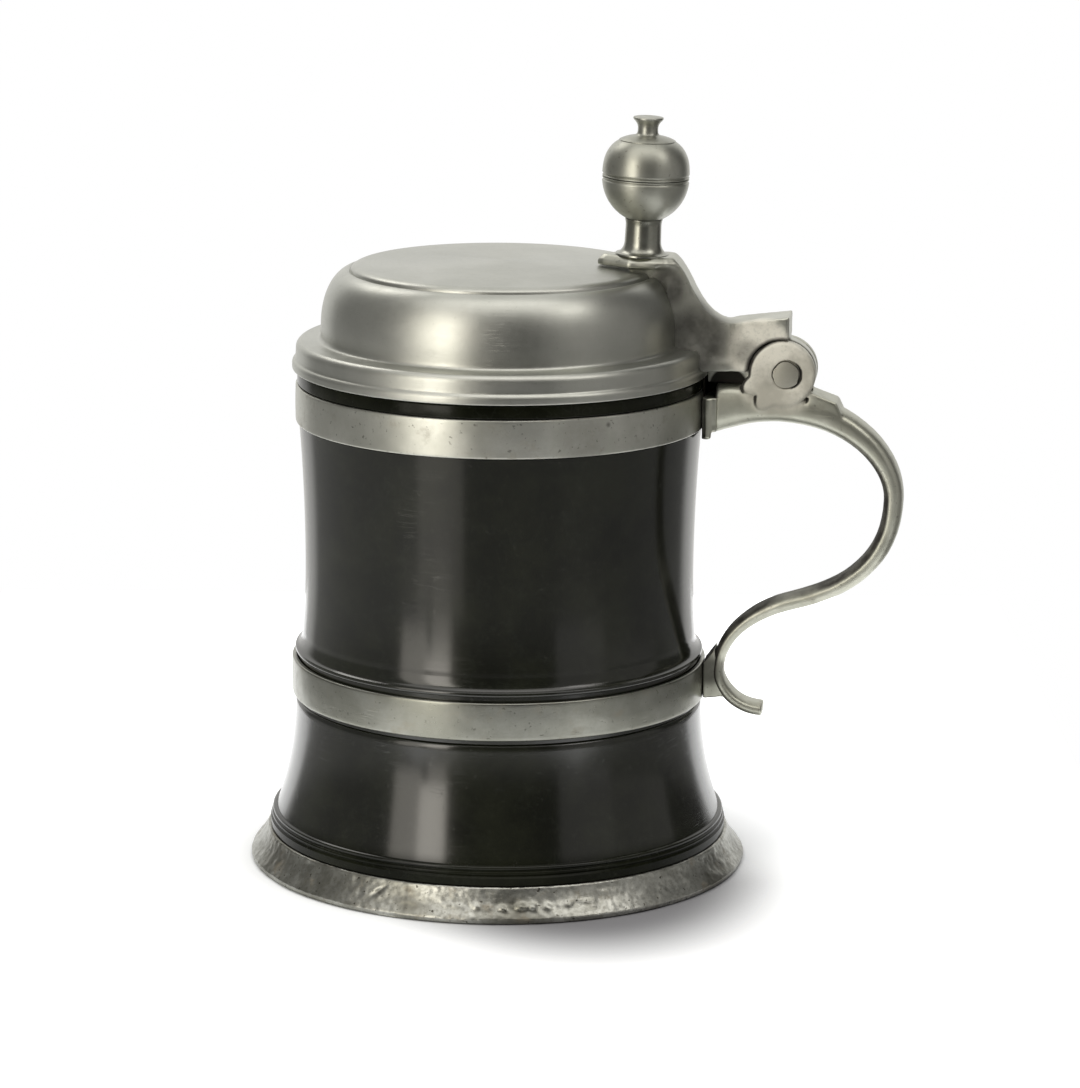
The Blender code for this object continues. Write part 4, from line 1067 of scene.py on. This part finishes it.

# Patches of corrosion, dirt and painted shade: strength, place, full radius and outer radius
BLOCK_CRUST = (1.0, (69.0, -7.0, 142.0), 7.0, 10.0)
LEAF_CRUST = (1.1, (HINGE_X - 1.0, -HINGE_HALF_WIDTH - 1.0, HINGE_Z), 8.5, 13.0)
PIN_DIRT = (0.2, (HINGE_X - 2.6, -HINGE_HALF_WIDTH, HINGE_Z - 1.5), 1.0, 3.4)
# Painted shade on the lug's shadowed top, where it meets the strap
LUG_PAINTED_SHADE = (0.7, (LUG_X - 0.6, -0.5 * LUG_WIDTH, LOWER_BAND_HIGH - 2.0), 2.0, 6.0)
# On the arm: painted shade on the tongue under the block; a darker, duller web side and solder; painted shade
# on the web's crest under the plate; a darker block face by the leaf's edge; painted shade round the near
# leaf
ARM_DIRT_AND_SHADE = [
    (2.0, (61.0, 0.0, 131.0), 4.8, 6.0),
    (0.9, (52.0, -8.0, 144.0), 6.0, 15.5),
    (0.9, (45.0, -7.0, 158.0), 3.0, 7.0),
    (0.55, (66.3, -6.5, 141.0), 1.5, 5.0),
    (0.9, (HINGE_X, -6.5, HINGE_Z), 9.3, 10.3),
]
FOOT_NICK = (1.0, (-22.6, -60.0, NICK_Z), 0.3, 1.4)
BAND_SCUFF = (0.45, (27.9, -47.6, UPPER_BAND_LOW + 5.5), 3.0, 13.0)
BAND_NICK = (1.6, (34.3, -43.4, UPPER_BAND_HIGH - 2.2), 0.2, 1.2)
# Darker towards the lower ball's bottom, near the stem
BALL_LOWER_DARKENING = (0.5, (0.0, 0.0, 1.0), 6.5, 12.0)

# Pewter looks: light and dark colour, roughness, turning lines, wear, lumps, spun gloss
PEWTERS = {
    "turned_pewter": ((0.485, 0.489, 0.452), (0.412, 0.418, 0.381), 0.335, 1.0, 0.12, 0.2, 0.35),
    "ball_pewter": ((0.49, 0.495, 0.448), (0.36, 0.362, 0.315), 0.40, 0.6, 0.4, 0.5, 0.55),
    "stem_pewter": ((0.37, 0.373, 0.33), (0.25, 0.252, 0.215), 0.27, 0.5, 0.4, 0.6, 0.4),
    "band_pewter": ((0.55, 0.553, 0.505), (0.43, 0.432, 0.385), 0.36, 0.8, 0.7, 0.7, 0.5),
    # The lower band's pewter is a darker copy of the band's: painted shade
    "shaded_band_pewter": ((0.31, 0.313, 0.28), (0.225, 0.227, 0.195), 0.27, 0.6, 0.6, 0.8, 0.2),
    "foot_pewter": ((0.47, 0.473, 0.435), (0.17, 0.167, 0.14), 0.33, 0.3, 1.2, 4.0, 0.0),
    "strap_pewter": ((0.54, 0.544, 0.468), (0.42, 0.423, 0.355), 0.40, 0.0, 0.45, 1.0, 0.0),
    "arm_pewter": ((0.52, 0.525, 0.47), (0.43, 0.433, 0.375), 0.37, 0.0, 0.3, 0.8, 0.0),
    "pin_metal": ((0.44, 0.43, 0.38), (0.34, 0.33, 0.28), 0.50, 0.0, 0.5, 0.8, 0.0),
    # The packing's near-black look, partly painted shade
    "dirt_and_shade": ((0.030, 0.027, 0.021), GRIME_AND_SHADE_COLOUR, 0.70, 0.0, 0.5, 2.0, 0.0),
}
# What else some of them have: patches of grime and of painted shade, one pale crust, painted shade on the
# faces towards the vessel, another stain
EXTRAS = {
    "ball_pewter": {"grime_and_shade": [BALL_LOWER_DARKENING]},
    "band_pewter": {"grime_and_shade": [BAND_SCUFF, BAND_NICK]},
    "foot_pewter": {"grime_and_shade": [FOOT_NICK]},
    "strap_pewter": {"grime_and_shade": [PIN_DIRT, LUG_PAINTED_SHADE], "pale": LEAF_CRUST, "facing_shade": 1.0},
    "arm_pewter": {"grime_and_shade": ARM_DIRT_AND_SHADE, "pale": BLOCK_CRUST},
    "dirt_and_shade": {"stain": PIT_COLOUR},
}


class Graph:
    """Adds and joins the nodes of one shader."""

    def __init__(self, tree):
        self.tree = tree
        tree.nodes.clear()

    def add(self, kind, feeds=(), **settings):
        """Add a node, feed its sockets with outputs or constants, and return its outputs."""
        node = self.tree.nodes.new("ShaderNode" + kind)
        for key, value in settings.items():
            setattr(node, key, value)
        for key, value in dict(feeds).items():
            socket = node.inputs[key]
            if isinstance(value, bpy.types.NodeSocket):
                self.tree.links.new(value, socket)
            else:
                socket.default_value = (*value, 1.0) if socket.type == "RGBA" else value
        return node.outputs

    def math(self, operation, first, second=0.0):
        """Combine two numbers."""
        return self.add("Math", {0: first, 1: second}, operation=operation)[0]

    def times(self, first, second):
        """Multiply two numbers."""
        return self.math("MULTIPLY", first, second)

    def total(self, base, *shares):
        """Add (factor, output) pairs to a base."""
        for factor, output in shares:
            base = self.math("ADD", base, self.times(output, factor))
        return base

    def spread(self, value, low, high, to_low=0.0, to_high=1.0):
        """Map a range smoothly onto another, and hold it at both ends."""
        feeds = {"Value": value, "From Min": low, "From Max": high, "To Min": to_low, "To Max": to_high}
        return self.add("MapRange", feeds, interpolation_type="SMOOTHSTEP")["Result"]

    def noise(self, vector, scale, detail=2.0, roughness=0.5):
        """Return smooth noise at so many features a millimetre."""
        feeds = {"Vector": vector, "Scale": scale, "Detail": detail, "Roughness": roughness}
        return self.add("TexNoise", feeds)[0]

    def mix(self, share, first, second):
        """Blend two colours."""
        return self.add("Mix", {0: share, 6: first, 7: second}, data_type="RGBA")[2]

    def coats(self, colour, *layers):
        """Lay coats of (cover, share, colour) over a colour."""
        for cover, share, over in layers:
            colour = self.mix(self.times(cover, share), colour, over)
        return colour

    def vector(self, operation, first, second=(0.0, 0.0, 0.0), scale=1.0):
        """Combine two vectors."""
        outputs = self.add("VectorMath", {0: first, 1: second, 3: scale}, operation=operation)
        return outputs["Value" if operation in ("LENGTH", "DOT_PRODUCT") else "Vector"]

    def axis(self, vector, index):
        """Return one number of a vector."""
        return self.add("SeparateXYZ", {0: vector})[index]

    def coordinates(self, kind="Object"):
        """Return the object's coordinates or its normal."""
        return self.add("TexCoord")[kind]

    def place(self):
        """Return the place on the piece, in millimetres."""
        return self.vector("SCALE", self.coordinates(), scale=1.0 / MM)

    def near(self, place, centre, inner, outer):
        """Return one near a place and nothing away from it."""
        distance = self.vector("LENGTH", self.vector("SUBTRACT", place, centre))
        return self.spread(distance, inner, outer, 1.0, 0.0)

    def turning(self, place, wander):
        """Return coordinates that noise makes into turning lines round the axis."""
        radius = self.vector("LENGTH", self.vector("MULTIPLY", place, (1.0, 1.0, 0.0)))
        sway = self.times(self.noise(place, 0.04), wander)
        return self.add("CombineXYZ", {0: radius, 1: self.axis(place, 2), 2: sway})[0]

    def thread(self, wave, width):
        """Return thin lines where a noise crosses its middle."""
        return self.spread(self.math("ABSOLUTE", self.math("SUBTRACT", wave, 0.5)), 0.0, width, 1.0, 0.0)

    def scratches(self, place, turn, stretch, width):
        """Return thin broken lines that all run much the same way."""
        feeds = {"Vector": place, "Rotation": turn, "Scale": stretch}
        wave = self.noise(self.add("Mapping", feeds)[0], 1.0, 1.0)
        broken = self.spread(self.noise(place, 0.11), 0.52, 0.64)
        return self.times(self.thread(wave, width), broken)

    def raised(self, height, strength, distance):
        """Return a normal that a height in millimetres bends."""
        feeds = {"Strength": strength, "Distance": distance * MM, "Height": height}
        return self.add("Bump", feeds)[0]

    def close(self, shader, kind="OutputMaterial"):
        """Join a shader to the surface output."""
        self.add(kind, {"Surface": shader})


def new_material(name):
    """Return a material and the graph of its nodes."""
    material = bpy.data.materials.new(name)
    material.use_nodes = True
    return material, Graph(material.node_tree)


def principled(graph, colour, roughness, normal, metallic, ior, spun=0.0, gloss=0.5):
    """Add the Principled shader and close the graph with it."""
    feeds = {"Base Color": colour, "Roughness": roughness, "Normal": normal}
    feeds |= {"Metallic": metallic, "IOR": ior, "Specular IOR Level": gloss}
    if spun:
        tangent = graph.add("Tangent", direction_type="RADIAL", axis="Z")[0]
        feeds |= {"Tangent": tangent, "Anisotropic": spun, "Anisotropic Rotation": 0.25}
    graph.close(graph.add("BsdfPrincipled", feeds)[0])


def pewter_films(graph, place, tone, grain, extras):
    """Return the dull films on a pewter, crust, grime and painted shade: how strong, what colour, and how
    much rougher.
    """
    films = []
    if "pale" in extras:
        strength, *patch = extras["pale"]
        mottle = graph.spread(grain, 0.30, 0.55, 0.55 * strength, strength)
        crust = graph.times(graph.near(place, *patch), mottle)
        films.append((crust, graph.mix(graph.spread(tone, 0.4, 0.6), *CRUST_COLOURS), 0.25))
    # Patches of grime and of painted shade, all in one near-black colour
    dirts_and_shades = [graph.times(graph.near(place, *patch), strength) for strength, *patch in extras.get("grime_and_shade", ())]
    # Painted shade on the faces that look towards the vessel
    if "facing_shade" in extras:
        facing = graph.vector("DOT_PRODUCT", graph.coordinates("Normal"), FACING_SHADE_DIRECTION)
        dirts_and_shades.append(graph.spread(facing, 0.15, 0.60, 0.0, extras["facing_shade"]))
    patchy = graph.spread(graph.noise(place, 0.3), 0.32, 0.68, 0.88, 1.0)
    return films + [(graph.times(dirt_and_shade, patchy), GRIME_AND_SHADE_COLOUR, 0.4) for dirt_and_shade in dirts_and_shades]


def pewter(look):
    """Pewter with turning lines, tarnish, stains, pits and scratches in the look's amounts, and its patches
    of crust, grime and painted shade.
    """
    light, dark, roughness, lines, wear, lumps, spun = PEWTERS[look]
    extras = EXTRAS.get(look, {})
    material, graph = new_material(look + "_look")
    place = graph.place()
    fine = graph.noise(graph.turning(place, 3.0), 2.6, 5.0, 0.7)
    tone = graph.noise(place, 0.05, 5.0, 0.6)
    grain = graph.noise(place, 0.9, 4.0, 0.65)
    blotch = graph.spread(graph.noise(place, 0.16, 5.0, 0.66), 0.54, 0.74)
    pits = graph.spread(graph.noise(place, 0.85), 0.66, 0.73)
    marks = graph.scratches(place, (0.5, 0.9, 0.2), (0.05, 0.05, 0.7), 0.012)
    more_marks = graph.scratches(place, (0.2, -0.5, 1.1), (0.06, 0.06, 0.55), 0.010)
    colour = graph.coats(
        graph.mix(graph.spread(tone, 0.34, 0.66), dark, light),
        (fine, 0.30 * lines, dark),
        (graph.spread(grain, 0.42, 0.62), 0.35 * wear, dark),
        (blotch, 0.55 * wear, extras.get("stain", STAIN_COLOUR)),
        (pits, 0.75 * wear, PIT_COLOUR),
    )
    rough = graph.total(
        roughness - 0.10, (0.10, tone), (0.10 * lines, fine), (0.16 * wear, blotch), (0.10, grain),
    )
    metal = 1.0
    for film, film_colour, dulling in pewter_films(graph, place, tone, grain, extras):
        colour = graph.mix(film, colour, film_colour)
        rough = graph.total(rough, (dulling, film))
        metal = graph.times(metal, graph.spread(film, 0.0, 1.0, 1.0, 0.1))
    lump = graph.noise(place, 0.25, 3.0)
    height = graph.total(
        0.0, (0.5 * lines, fine), (lumps, lump), (-0.9 * wear, pits),
        (0.35, grain), (-0.5, marks), (-0.5, more_marks),
    )
    principled(graph, colour, rough, graph.raised(height, 0.35, 0.05), metal, 1.5, spun)
    return material


def serpentine():
    """Dark green-black serpentine: mottled, flecked, turned, polished and a little scratched.

    Its gloss falls off down at the foot, where the polish is worn, and on the rim.
    """
    material, graph = new_material("serpentine_look")
    place = graph.place()
    fine = graph.noise(graph.turning(place, 2.0), 1.6, 5.0, 0.7)
    cloud = graph.noise(place, 0.06, 6.0, 0.62)
    fleck = graph.spread(graph.noise(place, 0.75, 3.0, 0.6), 0.62, 0.74)
    vein = graph.thread(graph.noise(place, 0.045, 5.0, 0.7), 0.018)
    marks = graph.scratches(place, (0.3, 0.7, 0.1), (0.04, 0.04, 0.6), 0.010)
    wave = graph.noise(place, 0.12)
    colour = graph.coats(
        graph.mix(graph.spread(cloud, 0.36, 0.66), *STONE_COLOURS),
        (fleck, 0.25, FLECK_COLOUR),
        (vein, 0.18, VEIN_COLOUR),
    )
    rough = graph.total(0.095, (0.06, cloud), (0.05, fine), (0.10, fleck), (0.10, marks))
    height = graph.total(0.0, (0.5, fine), (-0.5, fleck), (-0.5, marks), (0.8, wave))
    level = graph.axis(place, 2)
    low = graph.spread(level, FOOT_HEIGHT + 3.0, FOOT_HEIGHT + 8.0, FOOT_GLOSS, STONE_GLOSS)
    high = graph.spread(level, UPPER_BAND_HIGH, UPPER_BAND_HIGH + 0.6, STONE_GLOSS, RIM_GLOSS)
    gloss = graph.math("MINIMUM", low, high)
    principled(graph, colour, rough, graph.raised(height, 0.25, 0.03), 0.0, 1.56, gloss=gloss)
    return material


# Dressing the frame

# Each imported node: the body that it rides on, its slot and its look
NODES = {
    "stone_body": ("vessel", "dark_serpentine", "serpentine"),
    "foot_ring": ("vessel", "worn_pewter", "foot_pewter"),
    "lower_band": ("vessel", "worn_pewter", "shaded_band_pewter"),
    "upper_band": ("vessel", "worn_pewter", "band_pewter"),
    "upper_bracket": ("vessel", "cast_pewter", "strap_pewter"),
    "lower_lug": ("vessel", "cast_pewter", "strap_pewter"),
    "handle": ("vessel", "cast_pewter", "strap_pewter"),
    "hinge_pin": ("vessel", "pin_metal", "pin_metal"),
    "lid": ("lid", "turned_pewter", "turned_pewter"),
    "lid_arm": ("lid", "cast_pewter", "arm_pewter"),
    "thumb_stem": ("lid", "turned_pewter", "stem_pewter"),
    "thumb_ball_lower": ("lid", "turned_pewter", "ball_pewter"),
    "thumb_ball_upper": ("lid", "turned_pewter", "ball_pewter"),
    "thumb_finial": ("lid", "turned_pewter", "ball_pewter"),
}


def dress():
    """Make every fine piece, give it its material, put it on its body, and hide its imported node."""
    pieces = make_vessel_pieces()
    pieces["upper_bracket"] = make_bracket()
    pieces["lower_lug"] = make_lug()
    pieces["handle"] = make_handle()
    pieces["hinge_pin"] = make_pin()
    lid_profile = softened(lid_outside()) + softened(lid_inside(), LID_INSIDE_STEP)[1:]
    pieces["lid"] = lathe("lid_fine", lid_profile, BIG_STEPS, lid_wear)
    pieces["lid_arm"] = make_arm()
    pieces.update(make_thumbpiece())
    looks = {look: pewter(look) for look in PEWTERS}
    looks["serpentine"] = serpentine()
    bpy.context.view_layer.update()
    for node, piece in pieces.items():
        body, slot, look = NODES[node]
        piece.data.materials.append(looks[look])
        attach(piece, body)
        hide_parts(node)
    packing = make_packing()
    packing.data.materials.append(looks["dirt_and_shade"])
    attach(packing, "vessel")


# Stage, in metres

CAMERA_DISTANCE = 1.1054
CAMERA_HEIGHT = 0.33666
CAMERA_PITCH = 12.797
CAMERA_YAW = 0.5615
CAMERA_ROLL = 0.5329
CAMERA_LENS = 140.57
CAMERA_SENSOR = 36.0
FLOOR_FRONT = 0.205
FLOOR_BACK = 0.30
FLOOR_SIDE = 0.17
FLOOR_LEVEL = -0.0002
PAPER_COLOURS = ((0.77, 0.79, 0.81), (0.83, 0.85, 0.87))
# Painted shadow on the paper: its colour and centre
SHADE_COLOUR = (0.235, 0.235, 0.25)
SHADE_CENTRE = (0.024, -0.030, 0.0)
DIM_CENTRE = (0.022, -0.012, 0.0)
CONTACT_REACH = 0.022
CONTACT_POWER = 2.6
TENT_RADIUS = 1.6
TENT_LEVEL = 0.10
TENT_COLOUR = (1.0, 0.99, 0.96)
LAMP_AIM = 0.40
WARM = (1.0, 0.95, 0.86)
PLAIN = (1.0, 0.97, 0.93)
# Soft boxes: bearing from the camera's side, distance, height, size, brightness of the face, colour
LAMPS = {
    "left_strip": (-34.0, 0.80, 0.35, (0.20, 0.74), 4.7, WARM),
    "left_edge": (-48.5, 0.80, 0.325, (0.215, 0.79), 2.0, WARM),
    "left_foot": (-32.5, 0.80, -0.055, (0.15, 0.07), 1.7, WARM),
    "left_glow": (-34.0, 0.80, -0.265, (0.38, 0.35), 0.53, WARM),
    "overhead": (0.0, 0.33, 1.05, (1.70, 0.76), 1.3, PLAIN),
    "back_left": (-140.0, 0.80, 0.95, (0.40, 0.40), 3.0, PLAIN),
    "right_panel": (47.0, 0.90, 0.35, (0.48, 0.90), 0.32, PLAIN),
    "right_top": (58.0, 0.75, 0.85, (0.34, 0.34), 2.2, PLAIN),
    "right_far": (81.0, 0.90, 0.37, (0.62, 0.86), 0.24, PLAIN),
}


def stage_point(right, away, up):
    """Return a place right of, behind and above the vessel as the camera sees it."""
    turn = Matrix.Rotation(math.radians(CAMERA_AZIMUTH), 3, "Z")
    return turn @ Vector((right, away, up))


def make_camera():
    """Place the camera where the photograph was taken from."""
    data = bpy.data.cameras.new("photo_camera")
    data.sensor_fit = "HORIZONTAL"
    data.sensor_width = CAMERA_SENSOR
    data.lens = CAMERA_LENS
    camera = linked("photo_camera", data)
    heading = Matrix.Rotation(math.radians(CAMERA_AZIMUTH - CAMERA_YAW), 4, "Z")
    pitch = Matrix.Rotation(math.radians(90.0 - CAMERA_PITCH), 4, "X")
    roll = Matrix.Rotation(math.radians(CAMERA_ROLL), 4, "Z")
    place = Matrix.Translation(stage_point(0.0, -CAMERA_DISTANCE, CAMERA_HEIGHT))
    camera.matrix_world = place @ heading @ pitch @ roll
    bpy.context.scene.camera = camera


def make_lamp(name, bearing, distance, height, size, brightness, colour):
    """Add a soft box that faces the vessel, and that the camera doesn't see."""
    angle = math.radians(bearing)
    place = stage_point(distance * math.sin(angle), -distance * math.cos(angle), height)
    data = bpy.data.lights.new(name, "AREA")
    data.shape = "RECTANGLE"
    data.size = size[0]
    data.size_y = size[1]
    data.color = colour
    data.energy = brightness * math.pi * size[0] * size[1]
    lamp = linked(name, data)
    lamp.location = place
    aim = Vector((0.0, 0.0, min(height, LAMP_AIM))) - place
    lamp.rotation_euler = aim.to_track_quat("-Z", "Y").to_euler()
    lamp.visible_camera = False
    lamp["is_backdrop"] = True


def tent_material():
    """The studio: white behind, dim in front, a little paler low down and left."""
    material, graph = new_material("tent")
    direction = graph.vector("NORMALIZE", graph.coordinates())
    flat = graph.vector("NORMALIZE", graph.vector("MULTIPLY", direction, (1.0, 1.0, 0.0)))
    back = graph.vector("DOT_PRODUCT", flat, tuple(stage_point(0.0, 1.0, 0.0)))
    left = graph.spread(graph.vector("DOT_PRODUCT", flat, tuple(stage_point(-1.0, 0.0, 0.0))), 0.3, 0.9)
    upper = graph.axis(direction, 2)
    low = graph.spread(upper, -0.21, -0.09, 1.0, 0.0)
    dim = graph.total(0.09, (0.15, low), (0.14, left), (0.06, graph.times(low, left)))
    behind = graph.spread(back, 0.60, 0.80)
    above = graph.spread(upper, 0.80, 0.95, 0.0, 0.8)
    level = graph.math("MAXIMUM", graph.math("MAXIMUM", dim, behind), above)
    graph.close(graph.add("Emission", {"Color": TENT_COLOUR, "Strength": level})[0])
    return material


def make_tent():
    """Put a light tent round the vessel, which the camera doesn't see."""
    mesh = bpy.data.meshes.new("light_tent")
    with opened(mesh) as bm:
        bmesh.ops.create_icosphere(bm, subdivisions=4, radius=TENT_RADIUS)
    mesh.materials.append(tent_material())
    tent = linked("light_tent", mesh)
    tent.location = (0.0, 0.0, TENT_LEVEL)
    tent.visible_camera = False
    tent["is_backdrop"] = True


def make_world():
    """White everywhere beyond the tent."""
    world = bpy.data.worlds.new("backdrop")
    world.use_nodes = True
    graph = Graph(world.node_tree)
    white = graph.add("Background", {"Color": (1.0, 1.0, 1.0)})[0]
    graph.close(white, "OutputWorld")
    bpy.context.scene.world = world


def floor_shade(graph, place):
    """Return the vessel's painted shadow on the paper, which falls forwards and to the right."""
    offset = graph.vector("SUBTRACT", place, SHADE_CENTRE)
    away = graph.vector("LENGTH", graph.vector("MULTIPLY", offset, (1.0, 0.75, 0.0)))
    front = graph.spread(graph.axis(place, 1), -0.032, 0.010, 1.0, 0.0)
    return graph.times(graph.spread(away, 0.026, 0.061, 1.0, 0.0), front)


def floor_material():
    """Pale paper that reads as white, keeps the lamps' shadows of the vessel, and carries a painted shadow
    and a contact shade from ambient occlusion.
    """
    material, graph = new_material("paper")
    place = graph.coordinates()
    shade = floor_shade(graph, place)
    tone = graph.mix(graph.noise(place, 900.0, 3.0), *PAPER_COLOURS)
    # Painted shadow: the paper's colour and glow are darkened under it
    tone = graph.mix(shade, tone, SHADE_COLOUR)
    paper = graph.add("BsdfDiffuse", {"Color": tone})[0]
    rays = graph.add("LightPath")
    seen = graph.math("MAXIMUM", rays["Is Camera Ray"], rays["Is Glossy Ray"])
    seen = graph.math("MAXIMUM", seen, rays["Is Transmission Ray"])
    away = graph.vector("LENGTH", graph.vector("SUBTRACT", place, DIM_CENTRE))
    level = graph.spread(away, 0.075, 0.145, 0.55, 1.0)
    level = graph.times(level, graph.total(1.0, (-0.9, shade)))
    # Contact shade: ambient occlusion darkens the glow close to the vessel
    contact = graph.add("AmbientOcclusion", {"Distance": CONTACT_REACH}, samples=12)["AO"]
    level = graph.times(level, graph.math("POWER", contact, CONTACT_POWER))
    glow = graph.add("Emission", {"Strength": graph.times(seen, level)})[0]
    graph.close(graph.add("AddShader", {0: paper, 1: glow})[0])
    return material


def make_floor():
    """Lay the paper under the vessel, square to the camera."""
    corners = [(-FLOOR_SIDE, -FLOOR_FRONT), (FLOOR_SIDE, -FLOOR_FRONT)]
    corners += [(FLOOR_SIDE, FLOOR_BACK), (-FLOOR_SIDE, FLOOR_BACK)]
    mesh = bpy.data.meshes.new("paper_floor")
    mesh.from_pydata([(right, away, FLOOR_LEVEL) for right, away in corners], [], [[0, 1, 2, 3]])
    mesh.materials.append(floor_material())
    floor = linked("paper_floor", mesh)
    floor.rotation_euler = (0.0, 0.0, math.radians(CAMERA_AZIMUTH))
    floor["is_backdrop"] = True


def write_sizes():
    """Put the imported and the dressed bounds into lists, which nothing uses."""
    sizes = {"cad": cad_bounds, "visual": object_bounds()}
    sizes = {name: [list(corner) for corner in corners] for name, corners in sizes.items()}


dress()
make_camera()
for lamp_name, lamp_settings in LAMPS.items():
    make_lamp(lamp_name, *lamp_settings)
make_tent()
make_world()
make_floor()
bpy.context.scene.view_settings.view_transform = "Standard"
write_sizes()
